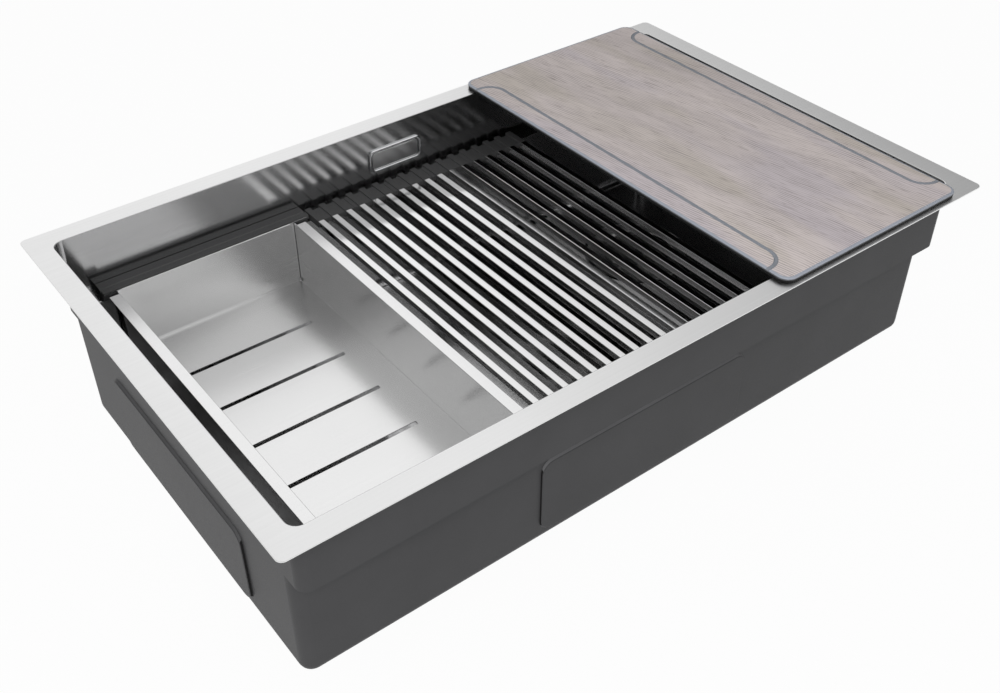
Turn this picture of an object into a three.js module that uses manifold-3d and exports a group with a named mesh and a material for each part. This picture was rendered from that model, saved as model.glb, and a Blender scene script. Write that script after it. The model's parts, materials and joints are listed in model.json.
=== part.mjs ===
// Workstation kitchen sink: a folded steel bowl with ledges along its long walls, and the
// accessories that rest on them: a colander, a roll-up rack and, on the flange, a cutting board.
// Millimetres, +Z up, +X to the right along the front, +Y to the back.
// Origin: centre of the opening, in the plane of the flange's underside, which lies on the worktop.
import * as THREE from "three";
import { mergeVertices } from "three/addons/utils/BufferGeometryUtils.js";
import Module from "manifold-3d";

const wasm = await Module();
wasm.setup();

// ---- Driving dimensions ----
// Depths are measured down from the flange's top face.
const SHEET = 1.2;
const GAP = 0.3; // clearance between pieces that touch or slide

const FLANGE = { width: 780, depth: 479, corner: 6 };
const OPENING = { width: 735.6, depth: 435.6, corner: 10 };
const LEDGE = { top: 68.5, width: 15.3, thickness: 2 };
const FLOOR = { top: 187, bend: 10 };

const PAD = { thickness: 2.5, height: 81, top: 92, corner: 12 };
const PAD_FRONT = { centre: -11, length: 244 };
const PAD_SIDE = { centre: 1, length: 243 };
const PAD_FLOOR = { x: -90, y: 0, length: 330, width: 250 };

const DRAIN = { x: 239, y: 73, recess: 3, recessRadius: 60, holeRadius: 45 };
const STRAINER = { flange: 57.5, cup: 43, wall: 1.5, cupDepth: 54, neck: 24.5, outletDepth: 88 };
const SPIGOT = { radius: 10, bore: 7, length: 22, depth: 35 };
const LOCKNUT = { radius: 54, height: 10, lugs: 6 };
const BASKET = { top: 39, bottom: 33, depth: 45, wall: 1, holes: 12, holeRadius: 2.6 };
const KNOB = { radius: 10, post: 2.5 };

const OVERFLOW = { x: 5, depth: 38, width: 67, height: 27, corner: 6 };
const BEZEL = { stand: 2.4, rim: 3.2 };
const HOUSING = { reach: 18, margin: 8, wall: 2 };

const COLANDER = { left: -326, right: -136, reach: 194.5, rim: 58, floor: 130, sheet: 1 };
const COLANDER_LIP = { width: 10.7, reach: 189 };
const COLANDER_END = { left: -338.3, right: -118, reach: 202, notch: 2.5 };
const EDGING = { inner: 196.2, post: 200.2, lip: 203.2, strip: 207, outer: 217.5 };
const EDGING_DEPTH = { lip: 57, strip: 57.85, lipBottom: 61, groove: 61.8, foot: 68.3 };
const SLOT = { length: 134, width: 4.8, pitch: 62.7, count: 5 };
const SEAM = 1.2;

const RACK = { left: -113.1, pitch: 16.55, bars: 17, top: 60.3, barReach: 184.2 };
const BAR = { width: 7, height: 6.3, wall: 0.8 };
const CAP = { reach: 212.3, inset: 3.6, drop: 1.3, plug: 12 };
const RACK_GROUPS = [3, 3, 3, 3, 3, 2]; // bars in each stiff group, from the left

const BOARD = { left: 113, right: 357, front: -235.5, back: 237.5, corner: 12 };
const BOARD_LAYER = { base: 2.6, panel: 2.6, bevel: 1.1, bevelWidth: 2.8, inset: 0.3 };
const GROOVE = { inset: 23, reach: 212, bend: 20, radius: 2.3, lift: 1 };

// ---- Finishes ----
const finish = (color, roughness, metalness) => ({ color, roughness, metalness });
const BRUSHED_STEEL = finish(0xc9cbcc, 0.35, 1);
const COATED_STEEL = finish(0x9a9c9e, 0.4, 1);
const CHROME = finish(0xe2e4e6, 0.08, 1);
const PAD_GREY = finish(0x4a4b4d, 0.75, 0);
const SILICONE = finish(0x2f3032, 0.65, 0);
const RUBBER = finish(0x1b1c1d, 0.85, 0);
const PLASTIC = finish(0xd9dadb, 0.5, 0);
const CARD = finish(0xb59a72, 0.9, 0);
const OAK = finish(0xa89c92, 0.6, 0);

// ---- Solids ----
/** Signed volume of an indexed triangle mesh. */
function signedVolume(vertices, triangles) {
  let sum = 0;
  const corner = (i) => new THREE.Vector3().fromArray(vertices, 3 * triangles[i]);
  for (let i = 0; i < triangles.length; i += 3) {
    sum += corner(i).dot(corner(i + 1).cross(corner(i + 2)));
  }
  return sum / 6;
}

/** A closed geometry as a solid, with its faces turned outwards. */
function solid(geometry) {
  const bare = geometry.index ? geometry.toNonIndexed() : geometry.clone();
  bare.deleteAttribute("normal");
  bare.deleteAttribute("uv");
  const merged = mergeVertices(bare, 1e-4);
  const vertices = merged.attributes.position.array;
  const triangles = [];
  const index = merged.index.array;
  for (let i = 0; i < index.length; i += 3) {
    const [a, b, c] = [index[i], index[i + 1], index[i + 2]];
    if (a !== b && b !== c && c !== a) triangles.push(a, b, c);
  }
  if (signedVolume(vertices, triangles) < 0) triangles.reverse();
  const triVerts = new Uint32Array(triangles);
  return new wasm.Manifold(new wasm.Mesh({ numProp: 3, vertProperties: vertices, triVerts }));
}

/** The geometry of a solid, with flat faces. */
function geometryOf(body) {
  const mesh = body.getMesh();
  const positions = new Float32Array(mesh.numVert * 3);
  for (let i = 0; i < mesh.numVert; i++) {
    const start = i * mesh.numProp;
    positions.set(mesh.vertProperties.subarray(start, start + 3), i * 3);
  }
  const geometry = new THREE.BufferGeometry();
  geometry.setAttribute("position", new THREE.BufferAttribute(positions, 3));
  geometry.setIndex(new THREE.BufferAttribute(mesh.triVerts, 1));
  const flat = geometry.toNonIndexed();
  flat.computeVertexNormals();
  return flat;
}

/** A named mesh with its own material. */
function piece(name, body, look) {
  const mesh = new THREE.Mesh(geometryOf(body), new THREE.MeshStandardMaterial(look));
  mesh.name = name;
  return mesh;
}

/** Height of a level that lies `depth` below the flange's top. */
const below = (depth) => SHEET - depth;

/** A box between two corners. */
function box(x0, x1, y0, y1, z0, z1) {
  const geometry = new THREE.BoxGeometry(x1 - x0, y1 - y0, z1 - z0);
  return solid(geometry.translate((x0 + x1) / 2, (y0 + y1) / 2, (z0 + z1) / 2));
}

/** Outline of a rectangle with round corners, centred on the origin. */
function roundedRectangle(width, depth, radius) {
  const [x, y] = [width / 2 - radius, depth / 2 - radius];
  const outline = new THREE.Shape();
  outline.absarc(x, y, radius, 0, Math.PI / 2);
  outline.absarc(-x, y, radius, Math.PI / 2, Math.PI);
  outline.absarc(-x, -y, radius, Math.PI, 1.5 * Math.PI);
  outline.absarc(x, -y, radius, 1.5 * Math.PI, 2 * Math.PI);
  return outline;
}

/** An upright slab with round corners between two heights. */
function slab(width, depth, radius, z0, z1, segments = 6) {
  const options = { depth: z1 - z0, bevelEnabled: false, curveSegments: segments };
  const geometry = new THREE.ExtrudeGeometry(roundedRectangle(width, depth, radius), options);
  return solid(geometry.translate(0, 0, z0));
}

/** A slab whose lower and upper edges are rounded over with the bend radius. */
function bentSlab(width, depth, bend, z0, z1) {
  const core = roundedRectangle(width - 2 * bend, depth - 2 * bend, 1);
  const geometry = new THREE.ExtrudeGeometry(core, {
    depth: z1 - z0 - 2 * bend,
    bevelThickness: bend,
    bevelSize: bend,
    bevelSegments: 5,
    curveSegments: 6,
  });
  return solid(geometry.translate(0, 0, z0 + bend));
}

/** A profile of [radius, z] points turned round the Z axis. */
function turned(profile, segments = 48) {
  const points = profile.map(([radius, z]) => new THREE.Vector2(radius, z));
  points.push(points[0].clone());
  return solid(new THREE.LatheGeometry(points, segments).rotateX(Math.PI / 2));
}

/** A ring with a rectangular section. */
function ring(inner, outer, z0, z1, segments = 48) {
  return turned([[inner, z0], [outer, z0], [outer, z1], [inner, z1]], segments);
}

/** A cylinder along `axis` ("x", "y" or "z"), centred on the origin. */
function rod(radius, length, axis, segments = 24) {
  const geometry = new THREE.CylinderGeometry(radius, radius, length, segments);
  if (axis === "z") geometry.rotateX(Math.PI / 2);
  if (axis === "x") geometry.rotateZ(Math.PI / 2);
  return solid(geometry);
}

/** A bar along X, from x0 to x1, with an outline of [y, z] points. */
function barAlongX(outline, x0, x1) {
  const shape = new THREE.Shape(outline.map(([y, z]) => new THREE.Vector2(y, z)));
  const geometry = new THREE.ExtrudeGeometry(shape, { depth: x1 - x0, bevelEnabled: false });
  const [x, y, z] = [[1, 0, 0], [0, 1, 0], [0, 0, 1]].map((axis) => new THREE.Vector3(...axis));
  return solid(geometry.applyMatrix4(new THREE.Matrix4().makeBasis(y, z, x)).translate(x0, 0, 0));
}

/** A round-cornered plate that stands in the XZ plane, from y0 to y1. */
function standingPlate(width, height, radius, y0, y1) {
  const options = { depth: y1 - y0, bevelEnabled: false, curveSegments: 5 };
  const geometry = new THREE.ExtrudeGeometry(roundedRectangle(width, height, radius), options);
  geometry.rotateX(Math.PI / 2).translate(0, y1, 0);
  return solid(geometry);
}

const join = (bodies) => bodies.reduce((sum, body) => sum.add(body));
const cut = (body, tools) => tools.reduce((rest, tool) => rest.subtract(tool), body);

// ---- Bowl ----
const WALL_X = OPENING.width / 2;
const WALL_Y = OPENING.depth / 2;
const LEDGE_Y = WALL_Y - LEDGE.width;
const OUTER = OPENING.corner + SHEET;

function bowlShell() {
  const upperOuter = slab(
    OPENING.width + 2 * SHEET, OPENING.depth + 2 * SHEET, OUTER,
    below(LEDGE.top + LEDGE.thickness), below(0),
  );
  const lowerOuter = bentSlab(
    OPENING.width + 2 * SHEET, 2 * (LEDGE_Y + SHEET), FLOOR.bend + SHEET,
    below(FLOOR.top + SHEET), below(LEDGE.top - 2 * FLOOR.bend),
  );
  const upperInner = slab(
    OPENING.width, OPENING.depth, OPENING.corner, below(LEDGE.top), SHEET + 1,
  );
  const lowerInner = bentSlab(
    OPENING.width, 2 * LEDGE_Y, FLOOR.bend, below(FLOOR.top), below(LEDGE.top - 3 * FLOOR.bend),
  );
  const flange = slab(FLANGE.width, FLANGE.depth, FLANGE.corner, 0, SHEET);
  const recessTop = below(FLOOR.top);
  const atDrain = (body, z = 0) => body.translate(DRAIN.x, DRAIN.y, z);
  const boss = ring(30, DRAIN.recessRadius + SHEET, recessTop - DRAIN.recess - SHEET, recessTop - 0.1);
  const recess = rod(DRAIN.recessRadius, 2 * DRAIN.recess, "z", 48);
  const hole = rod(DRAIN.holeRadius, 30, "z", 48);
  const port = standingPlate(OVERFLOW.width - 14, OVERFLOW.height - 10, 4, -10, 10)
    .translate(OVERFLOW.x, WALL_Y, below(OVERFLOW.depth));
  const body = join([flange, upperOuter, lowerOuter, atDrain(boss)]);
  return cut(body, [upperInner, lowerInner, atDrain(recess, recessTop), atDrain(hole, recessTop), port]);
}

// Sound-deadening pads, one on each outer wall and one under the floor.
function wallPad(length, thickness) {
  return standingPlate(length, PAD.height, PAD.corner, 0, thickness);
}

function dampingPads() {
  const z = below(PAD.top + PAD.height / 2);
  const frontWall = LEDGE_Y + SHEET + GAP / 3;
  const sideWall = WALL_X + SHEET + GAP / 3;
  const long = wallPad(PAD_FRONT.length, PAD.thickness);
  const short = wallPad(PAD_SIDE.length, PAD.thickness);
  const floorPad = slab(PAD_FLOOR.length, PAD_FLOOR.width, PAD.corner, -PAD.thickness, 0);
  const under = below(FLOOR.top + SHEET) - GAP / 3;
  const pads = {
    damping_pad_front: long.translate(PAD_FRONT.centre, -frontWall - PAD.thickness, z),
    damping_pad_back: long.translate(PAD_FRONT.centre, frontWall, z),
    damping_pad_left: short.rotate([0, 0, 90]).translate(-sideWall, PAD_SIDE.centre, z),
    damping_pad_right: short.rotate([0, 0, -90]).translate(sideWall, PAD_SIDE.centre, z),
    damping_pad_floor: floorPad.translate(PAD_FLOOR.x, PAD_FLOOR.y, under),
  };
  return Object.entries(pads).map(([name, body]) => piece(name, body, PAD_GREY));
}

// ---- Overflow in the back wall ----
function overflow() {
  const group = new THREE.Group();
  const z = below(OVERFLOW.depth);
  const place = (body) => body.translate(OVERFLOW.x, 0, z);
  const { width, height, corner } = OVERFLOW;
  const wall = WALL_Y - 0.1;
  const innerWidth = width - 2 * BEZEL.rim;
  const innerHeight = height - 2 * BEZEL.rim;
  const bezel = cut(standingPlate(width, height, corner, wall - BEZEL.stand, wall), [
    standingPlate(innerWidth, innerHeight, corner - 1.5, wall - 10, wall + 10),
  ]);
  const coverBack = WALL_Y - 0.4;
  const cover = standingPlate(innerWidth - 2.4, innerHeight - 2.4, corner - 2.5, coverBack - 1, coverBack);
  const tongues = [-1, 1].map((side) =>
    box(side * 19 - 2, side * 19 + 2, coverBack - 0.5, WALL_Y + 3, -3, 3));
  const outside = WALL_Y + SHEET + 0.1;
  const gasketBack = outside + 1.5;
  const portWidth = width - 14;
  const portHeight = height - 10;
  const gasket = cut(standingPlate(width + 4, height + 4, corner + 2, outside, gasketBack), [
    standingPlate(portWidth, portHeight, 4, outside - 5, gasketBack + 5),
  ]);
  const front = gasketBack + 0.1;
  const back = outside + HOUSING.reach;
  const shell = standingPlate(width + HOUSING.margin, height + HOUSING.margin, corner + 3, front, back);
  const hollow = standingPlate(portWidth, portHeight, 4, front - 5, back - HOUSING.wall);
  const spigotY = (front + back) / 2;
  const spigotTop = -(height + HOUSING.margin) / 2 + 1;
  const spigot = rod(SPIGOT.radius - 2.2, 26, "z").translate(0, spigotY, spigotTop - 13);
  const bore = rod(SPIGOT.bore - 1.5, 70, "z").translate(0, spigotY, -35);
  group.add(
    piece("overflow_bezel", place(bezel), CHROME),
    piece("overflow_cover", place(join([cover, ...tongues])), CHROME),
    piece("overflow_gasket", place(gasket), RUBBER),
    piece("overflow_housing", place(cut(shell.add(spigot), [hollow, bore])), PLASTIC),
  );
  return group;
}

// ---- Basket strainer in the floor ----
function strainer() {
  const group = new THREE.Group();
  const seat = below(FLOOR.top) - DRAIN.recess; // top of the recess
  const top = below(FLOOR.top);
  const place = (body) => body.translate(DRAIN.x, DRAIN.y, 0);
  const { flange, cup, wall, neck } = STRAINER;
  const sealTop = seat + 1.5;
  const cupFloor = top - STRAINER.cupDepth;
  const outlet = top - STRAINER.outletDepth;
  const body = turned([
    [cup, sealTop + GAP], [flange - 1, sealTop + GAP], [flange, sealTop + 1],
    [flange - 0.6, top + 0.6], [cup + 2, top], [cup - wall, top - 3],
    [cup - wall - 1, cupFloor + 4], [cup - wall - 4, cupFloor + wall], [neck - 2.5, cupFloor + wall],
    [neck - 2.5, outlet], [neck, outlet], [neck, cupFloor - 2],
    [cup - 4, cupFloor - wall / 2], [cup, cupFloor + 4],
  ]);
  const armWidth = 3;
  const arms = [
    box(-neck + 1, neck - 1, -armWidth / 2, armWidth / 2, cupFloor - 3, cupFloor),
    box(-armWidth / 2, armWidth / 2, -neck + 1, neck - 1, cupFloor - 3, cupFloor),
  ];
  const spigotZ = top - SPIGOT.depth;
  const spigot = rod(SPIGOT.radius, SPIGOT.length, "y").translate(0, cup + SPIGOT.length / 2 - 2, spigotZ);
  const bore = rod(SPIGOT.bore, SPIGOT.length + 8, "y").translate(0, cup + SPIGOT.length / 2, spigotZ);
  const underside = seat - SHEET;
  const gasketBottom = underside - 3;
  const ringBottom = gasketBottom - 1.2;
  const nutTop = ringBottom - 0.1;
  const nutBottom = nutTop - LOCKNUT.height;
  const lugs = Array.from({ length: LOCKNUT.lugs }, (_, i) =>
    box(LOCKNUT.radius - 4, LOCKNUT.radius + 3, -5, 5, nutBottom, nutTop)
      .rotate([0, 0, (360 / LOCKNUT.lugs) * i]));
  const gasket = ring(cup + 0.6, flange - 1, gasketBottom, underside - 0.1);
  const frictionRing = ring(cup + 0.6, flange - 2, ringBottom, gasketBottom - 0.1);
  const nut = ring(cup + GAP, LOCKNUT.radius, nutBottom, nutTop);
  group.add(
    piece("strainer_body", place(join([body, ...arms, spigot]).subtract(bore)), BRUSHED_STEEL),
    piece("strainer_seal", place(ring(cup + 2.5, flange - 2, seat + 0.1, sealTop)), RUBBER),
    piece("strainer_gasket", place(gasket), RUBBER),
    piece("strainer_friction_ring", place(frictionRing), CARD),
    piece("strainer_locknut", place(join([nut, ...lugs])), PLASTIC),
  );
  group.add(...strainerBasket(top, cupFloor));
  return group;
}

// The perforated basket with its knob and its seal lifts out of the strainer.
function strainerBasket(top, cupFloor) {
  const place = (body) => body.translate(DRAIN.x, DRAIN.y, 0);
  const bottom = top - BASKET.depth;
  const rim = top - 2;
  const { top: wide, bottom: narrow, wall } = BASKET;
  const cup = turned([
    [KNOB.post + GAP, bottom], [narrow, bottom], [narrow + 1.5, bottom + 2], [wide, rim - 1.5],
    [wide + 1, rim - 1.2], [wide + 1, rim], [wide - wall, rim], [narrow + 0.5, bottom + 2.5],
    [narrow - 1, bottom + wall], [KNOB.post + GAP, bottom + wall],
  ]);
  const holes = [];
  for (let i = 0; i < BASKET.holes; i++) {
    const turn = [0, 0, (360 / BASKET.holes) * i];
    holes.push(
      rod(BASKET.holeRadius, 12, "z", 10).translate(narrow - 8, 0, bottom).rotate(turn),
      rod(BASKET.holeRadius, 12, "x", 10).translate(narrow + 2, 0, bottom + 12).rotate(turn),
      rod(BASKET.holeRadius, 12, "x", 10).translate(narrow + 4, 0, bottom + 24).rotate(turn),
    );
    if (i % 2 === 0) continue;
    holes.push(rod(BASKET.holeRadius, 12, "z", 10).translate(narrow - 18, 0, bottom).rotate(turn));
  }
  const postEnd = cupFloor + 0.6;
  const knob = turned([
    [0, postEnd], [KNOB.post, postEnd], [KNOB.post, top - 10], [KNOB.radius - 3, top - 8],
    [KNOB.radius, top - 5], [KNOB.radius, top - 2], [KNOB.radius - 2, top], [0, top],
  ], 32);
  const seal = turned([
    [KNOB.post + GAP, bottom - 0.2], [KNOB.post + GAP, cupFloor + 5], [20, cupFloor + 3.2],
    [29, cupFloor + 2], [30, cupFloor + 3], [24, bottom - 0.2],
  ]);
  return [
    piece("basket", place(cut(cup, holes)), BRUSHED_STEEL),
    piece("basket_knob", place(knob), CHROME),
    piece("basket_seal", place(seal), RUBBER),
  ];
}

// ---- Colander ----
// A tray folded from one sheet: narrow lips along its sides, and wider end lips with silicone
// edging that lie on the ledges.
function colander() {
  const group = new THREE.Group();
  const { left, right, reach, sheet } = COLANDER;
  const rim = below(COLANDER.rim);
  const floor = below(COLANDER.floor);
  const middle = (left + right) / 2;
  const outside = box(left - sheet, right + sheet, -reach - sheet, reach + sheet, floor - sheet, rim);
  const inside = box(left, right, -reach, reach, floor, rim + 5);
  const lipBottom = rim - sheet;
  const { width: lip, reach: lipReach } = COLANDER_LIP;
  const sideLips = box(left - lip, right + lip, -lipReach, lipReach, lipBottom, rim);
  const { left: endLeft, right: endRight, reach: endReach, notch } = COLANDER_END;
  const endLip = box(endLeft, endRight, reach + notch - 1, endReach, lipBottom, rim)
    .add(box(left + 4, right - 4, reach - 1, reach + notch, lipBottom, rim));
  const slots = Array.from({ length: SLOT.count }, (_, i) => {
    const y = (i - (SLOT.count - 1) / 2) * SLOT.pitch;
    const half = SLOT.width / 2;
    const [x0, x1] = [middle - SLOT.length / 2, middle + SLOT.length / 2];
    return box(x0, x1, y - half, y + half, floor - 5, floor + 5);
  });
  const seams = [left - sheet, right].flatMap((x) => [-1, 1].map((side) => {
    const y = side * (reach - SEAM / 2);
    return box(x, x + sheet, y - SEAM / 2, y + SEAM / 2, floor + 1, rim + 5);
  }));
  const body = join([outside, sideLips, endLip, endLip.mirror([0, 1, 0])]);
  group.add(piece("colander_tray", cut(body, [inside, ...slots, ...seams]), BRUSHED_STEEL));
  const edging = colanderEdging();
  group.add(piece("colander_edging_back", edging, SILICONE));
  group.add(piece("colander_edging_front", edging.mirror([0, 1, 0]), SILICONE));
  return group;
}

/** Edging of the back end lip: a slit lip, a saw-tooth groove, and a strip on the ledge. */
function colanderEdging() {
  const { inner, post, lip, strip, outer } = EDGING;
  const at = EDGING_DEPTH;
  const section = barAlongX([
    [inner, at.lip], [lip, at.lip], [lip, at.groove], [strip, at.strip], [outer, at.strip],
    [outer, at.foot], [post, at.foot], [post, at.lipBottom], [inner, at.lipBottom],
  ].map(([y, depth]) => [y, below(depth)]), COLANDER_END.left - 1, COLANDER_END.right + 1);
  const slit = box(
    COLANDER_END.left - GAP, COLANDER_END.right + GAP, inner - 1, COLANDER_END.reach + GAP,
    below(COLANDER.rim + COLANDER.sheet) - GAP / 2, below(COLANDER.rim) + GAP / 2,
  );
  return section.subtract(slit);
}

// ---- Roll-up rack ----
// Square tubes whose ends are plugged into silicone end pieces. Each stiff group of tubes has one
// end piece at the back and one at the front, and the groups fold at the webs between them.
function rackBar(x) {
  const top = below(RACK.top);
  const bottom = top - BAR.height;
  const tube = box(x, x + BAR.width, -RACK.barReach, RACK.barReach, bottom, top);
  const bore = box(
    x + BAR.wall, x + BAR.width - BAR.wall, -RACK.barReach - 5, RACK.barReach + 5,
    bottom + BAR.wall, top - BAR.wall,
  );
  return tube.subtract(bore);
}

function rackEndPiece(first, count, isFirst, isLast) {
  const top = below(RACK.top);
  const bottom = below(LEDGE.top) + 0.2;
  const near = RACK.barReach + GAP;
  const plugMargin = BAR.wall + GAP;
  const web = RACK.pitch - BAR.width;
  const webBox = (x0, x1) =>
    box(x0, x1, near + 1.5, CAP.reach - CAP.inset, bottom + 1.5, top - CAP.drop);
  const bodies = [];
  for (let i = first; i < first + count; i++) {
    const x = RACK.left + i * RACK.pitch;
    bodies.push(
      box(x, x + BAR.width, near, CAP.reach, bottom, top),
      box(
        x + plugMargin, x + BAR.width - plugMargin, near - CAP.plug, near + 1,
        top - BAR.height + plugMargin, top - plugMargin,
      ),
    );
    const lastOfGroup = i === first + count - 1;
    const webEnd = x + BAR.width + (lastOfGroup ? web / 2 - GAP / 2 : web + 1);
    if (!(lastOfGroup && isLast)) bodies.push(webBox(x + BAR.width - 1, webEnd));
  }
  const x = RACK.left + first * RACK.pitch;
  if (!isFirst) bodies.push(webBox(x - web / 2 + GAP / 2, x + 1));
  return join(bodies);
}

function rack() {
  const group = new THREE.Group();
  let first = 0;
  RACK_GROUPS.forEach((count, g) => {
    const number = g + 1;
    const end = rackEndPiece(first, count, g === 0, g === RACK_GROUPS.length - 1);
    group.add(piece("rack_end_back_" + number, end, SILICONE));
    group.add(piece("rack_end_front_" + number, end.mirror([0, 1, 0]), SILICONE));
    for (let i = first; i < first + count; i++) {
      const name = "rack_bar_" + String(i + 1).padStart(2, "0");
      group.add(piece(name, rackBar(RACK.left + i * RACK.pitch), BRUSHED_STEEL));
    }
    first += count;
  });
  return group;
}

// ---- Cutting board ----
/** Path of a groove: along the board's long edge, with both ends bent out to that edge. */
function groovePath(line, edge, z) {
  const side = Math.sign(edge - line);
  const { reach, bend } = GROOVE;
  const across = Math.abs(edge - line) + 3;
  const path = new THREE.CatmullRomCurve3([], false, "centripetal");
  const ends = (direction) => [
    new THREE.Vector3(line + side * across, direction * (reach + 1), z),
    new THREE.Vector3(line + side * bend * 0.75, direction * (reach - 1), z),
    new THREE.Vector3(line + side * bend * 0.25, direction * (reach - bend * 0.35), z),
    new THREE.Vector3(line, direction * (reach - bend * 1.2), z),
  ];
  path.points = [...ends(-1), new THREE.Vector3(line, 0, z), ...ends(1).reverse()];
  return path;
}

function groove(line, edge, z) {
  const section = new THREE.Shape().absarc(0, 0, GROOVE.radius, 0, 2 * Math.PI);
  const path = groovePath(line, edge, z);
  return solid(new THREE.ExtrudeGeometry(section, { steps: 60, extrudePath: path, curveSegments: 4 }));
}

function board() {
  const group = new THREE.Group();
  const width = BOARD.right - BOARD.left;
  const depth = BOARD.back - BOARD.front;
  const [x, y] = [(BOARD.right + BOARD.left) / 2, (BOARD.back + BOARD.front) / 2];
  const { base, panel, bevel, bevelWidth, inset } = BOARD_LAYER;
  const bottom = SHEET + 0.2;
  const middle = bottom + base + 0.1;
  const top = middle + panel;
  const edge = slab(width, depth, BOARD.corner, middle, top - bevel);
  const crownGeometry = new THREE.ExtrudeGeometry(
    roundedRectangle(width, depth, BOARD.corner), { depth: bevel, bevelEnabled: false, curveSegments: 6 },
  );
  const points = crownGeometry.attributes.position;
  for (let i = 0; i < points.count; i++) {
    if (points.getZ(i) < bevel / 2) continue;
    points.setX(i, points.getX(i) * (1 - (2 * bevelWidth) / width));
    points.setY(i, points.getY(i) * (1 - (2 * bevelWidth) / depth));
  }
  const crown = solid(crownGeometry.translate(0, 0, top - bevel));
  const grooveZ = top + GROOVE.lift;
  const grooves = [
    groove(-width / 2 + GROOVE.inset, -width / 2, grooveZ),
    groove(width / 2 - GROOVE.inset, width / 2, grooveZ),
  ];
  const panelBody = cut(edge.add(crown), grooves).translate(x, y, 0);
  const sheet = slab(width - 2 * inset, depth - 2 * inset, BOARD.corner - inset, bottom, bottom + base)
    .translate(x, y, 0);
  group.add(piece("board_panel", panelBody, OAK), piece("board_base", sheet, SILICONE));
  return group;
}

// ---- Assembly ----
const sink = new THREE.Group();
const bowl = new THREE.Group();
bowl.add(piece("bowl_shell", bowlShell(), COATED_STEEL), ...dampingPads());
sink.add(bowl, overflow(), strainer(), colander(), rack(), board());

export default sink;
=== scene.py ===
"""Looks of a drop-in workstation sink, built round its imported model.

Every sub-assembly is a class that holds its sizes, makes its fine meshes in the part's own frame,
and gives them their finishes. Sizes are in millimetres of that frame, whose zero height is the
flange's underside, and become metres when a mesh is made.
"""

from __future__ import annotations

import json
import logging
import math
from dataclasses import dataclass, field
from enum import Enum, IntEnum
from typing import Callable, Iterable, Sequence

import bmesh
import bpy
from mathutils import Matrix, Vector

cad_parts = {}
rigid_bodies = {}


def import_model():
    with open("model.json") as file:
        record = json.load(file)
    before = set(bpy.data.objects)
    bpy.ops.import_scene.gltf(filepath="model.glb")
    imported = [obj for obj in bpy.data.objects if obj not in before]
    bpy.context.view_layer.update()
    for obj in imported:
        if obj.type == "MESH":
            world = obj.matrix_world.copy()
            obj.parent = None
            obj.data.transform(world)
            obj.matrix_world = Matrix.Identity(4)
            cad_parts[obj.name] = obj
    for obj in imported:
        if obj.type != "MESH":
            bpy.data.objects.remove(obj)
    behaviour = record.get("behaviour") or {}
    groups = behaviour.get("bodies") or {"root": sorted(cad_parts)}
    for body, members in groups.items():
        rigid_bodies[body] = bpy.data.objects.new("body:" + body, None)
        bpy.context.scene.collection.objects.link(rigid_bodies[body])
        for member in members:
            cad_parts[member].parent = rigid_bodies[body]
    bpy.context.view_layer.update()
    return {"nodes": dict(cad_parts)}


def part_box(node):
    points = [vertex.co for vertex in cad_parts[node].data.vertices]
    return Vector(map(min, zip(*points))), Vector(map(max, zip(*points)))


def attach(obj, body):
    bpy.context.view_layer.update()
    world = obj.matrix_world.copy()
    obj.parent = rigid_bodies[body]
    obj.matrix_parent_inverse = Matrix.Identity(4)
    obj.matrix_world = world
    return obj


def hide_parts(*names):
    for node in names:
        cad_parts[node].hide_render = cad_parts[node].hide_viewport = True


Point = tuple[float, float, float]
Pair = tuple[float, float]
Colour = tuple[float, float, float]

LOG = logging.getLogger("sink")
MM = 0.001
SHARP = 32.0  # degrees past which an edge is drawn sharp, where a piece says nothing else

SHEET = 1.2  # thickness of the bowl's steel
WALL = 217.8  # inner face of the back wall
FLOOR_DEPTH = 187.0  # floor below the flange's top
FOOT_DEPTH = 68.3  # underside of the silicone on the ledges, below the flange's top
DRAIN: Pair = (239.0, 73.0)  # middle of the waste hole
PORT: Pair = (5.0, 38.0)  # middle of the overflow: along X, and below the flange's top
PORT_HALF: Pair = (26.5, 8.5)
PORT_CORNER = 4.0


class Axis(Enum):
    """Axes along which a bar of constant section runs."""

    X = "x"
    Y = "y"

    def place(self, a: float, b: float, along: float) -> Point:
        """The point at (a, b) across the axis, in the order of XYZ."""
        return (along, a, b) if self is Axis.X else (a, along, b)


class Carving(Enum):
    """What a tool does to the solid that it meets."""

    REMOVE = "DIFFERENCE"
    ADD = "UNION"


class BowlFace(IntEnum):
    """Material slots of the bowl's shell."""

    INSIDE = 0
    FLANGE = 1
    OUTSIDE = 2


class PadFace(IntEnum):
    """Material slots of a sound-deadening pad; the slope slot takes a paler copy of the coating,
    painted light.
    """

    FLAT = 0
    EDGE = 1
    SLOPE = 2


class TrayFace(IntEnum):
    """Material slots of the colander's tray; the second and third slots take painted shade."""

    INSIDE = 0
    CUT = 1
    OUTSIDE = 2


class EdgingFace(IntEnum):
    """Material slots of the colander's silicone edging."""

    OPEN = 0
    SHADED = 1


class BoardFace(IntEnum):
    """Material slots of the board's panel; the edge and shaded slots take painted shade."""

    TOP = 0
    EDGE = 1
    BEVEL = 2
    SHADED = 3


def below(depth: float) -> float:
    """Height of a level that lies `depth` under the flange's top face, both in millimetres."""
    return SHEET - depth


def metres(*place: float) -> tuple[float, ...]:
    """A place in metres, from one in millimetres."""
    return tuple(v * MM for v in place)


# --------------------------------------------------------------------------- meshes


def arc(radius: float, start: float, stop: float, steps: int) -> list[Pair]:
    """Points of an arc round the origin.

    Args:
        radius: Radius of the arc.
        start: First angle in degrees.
        stop: Last angle in degrees.
        steps: Number of chords.

    Returns:
        The points, both ends included.
    """
    angles = (math.radians(start + (stop - start) * i / steps) for i in range(steps + 1))
    return [(radius * math.cos(a), radius * math.sin(a)) for a in angles]


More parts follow.
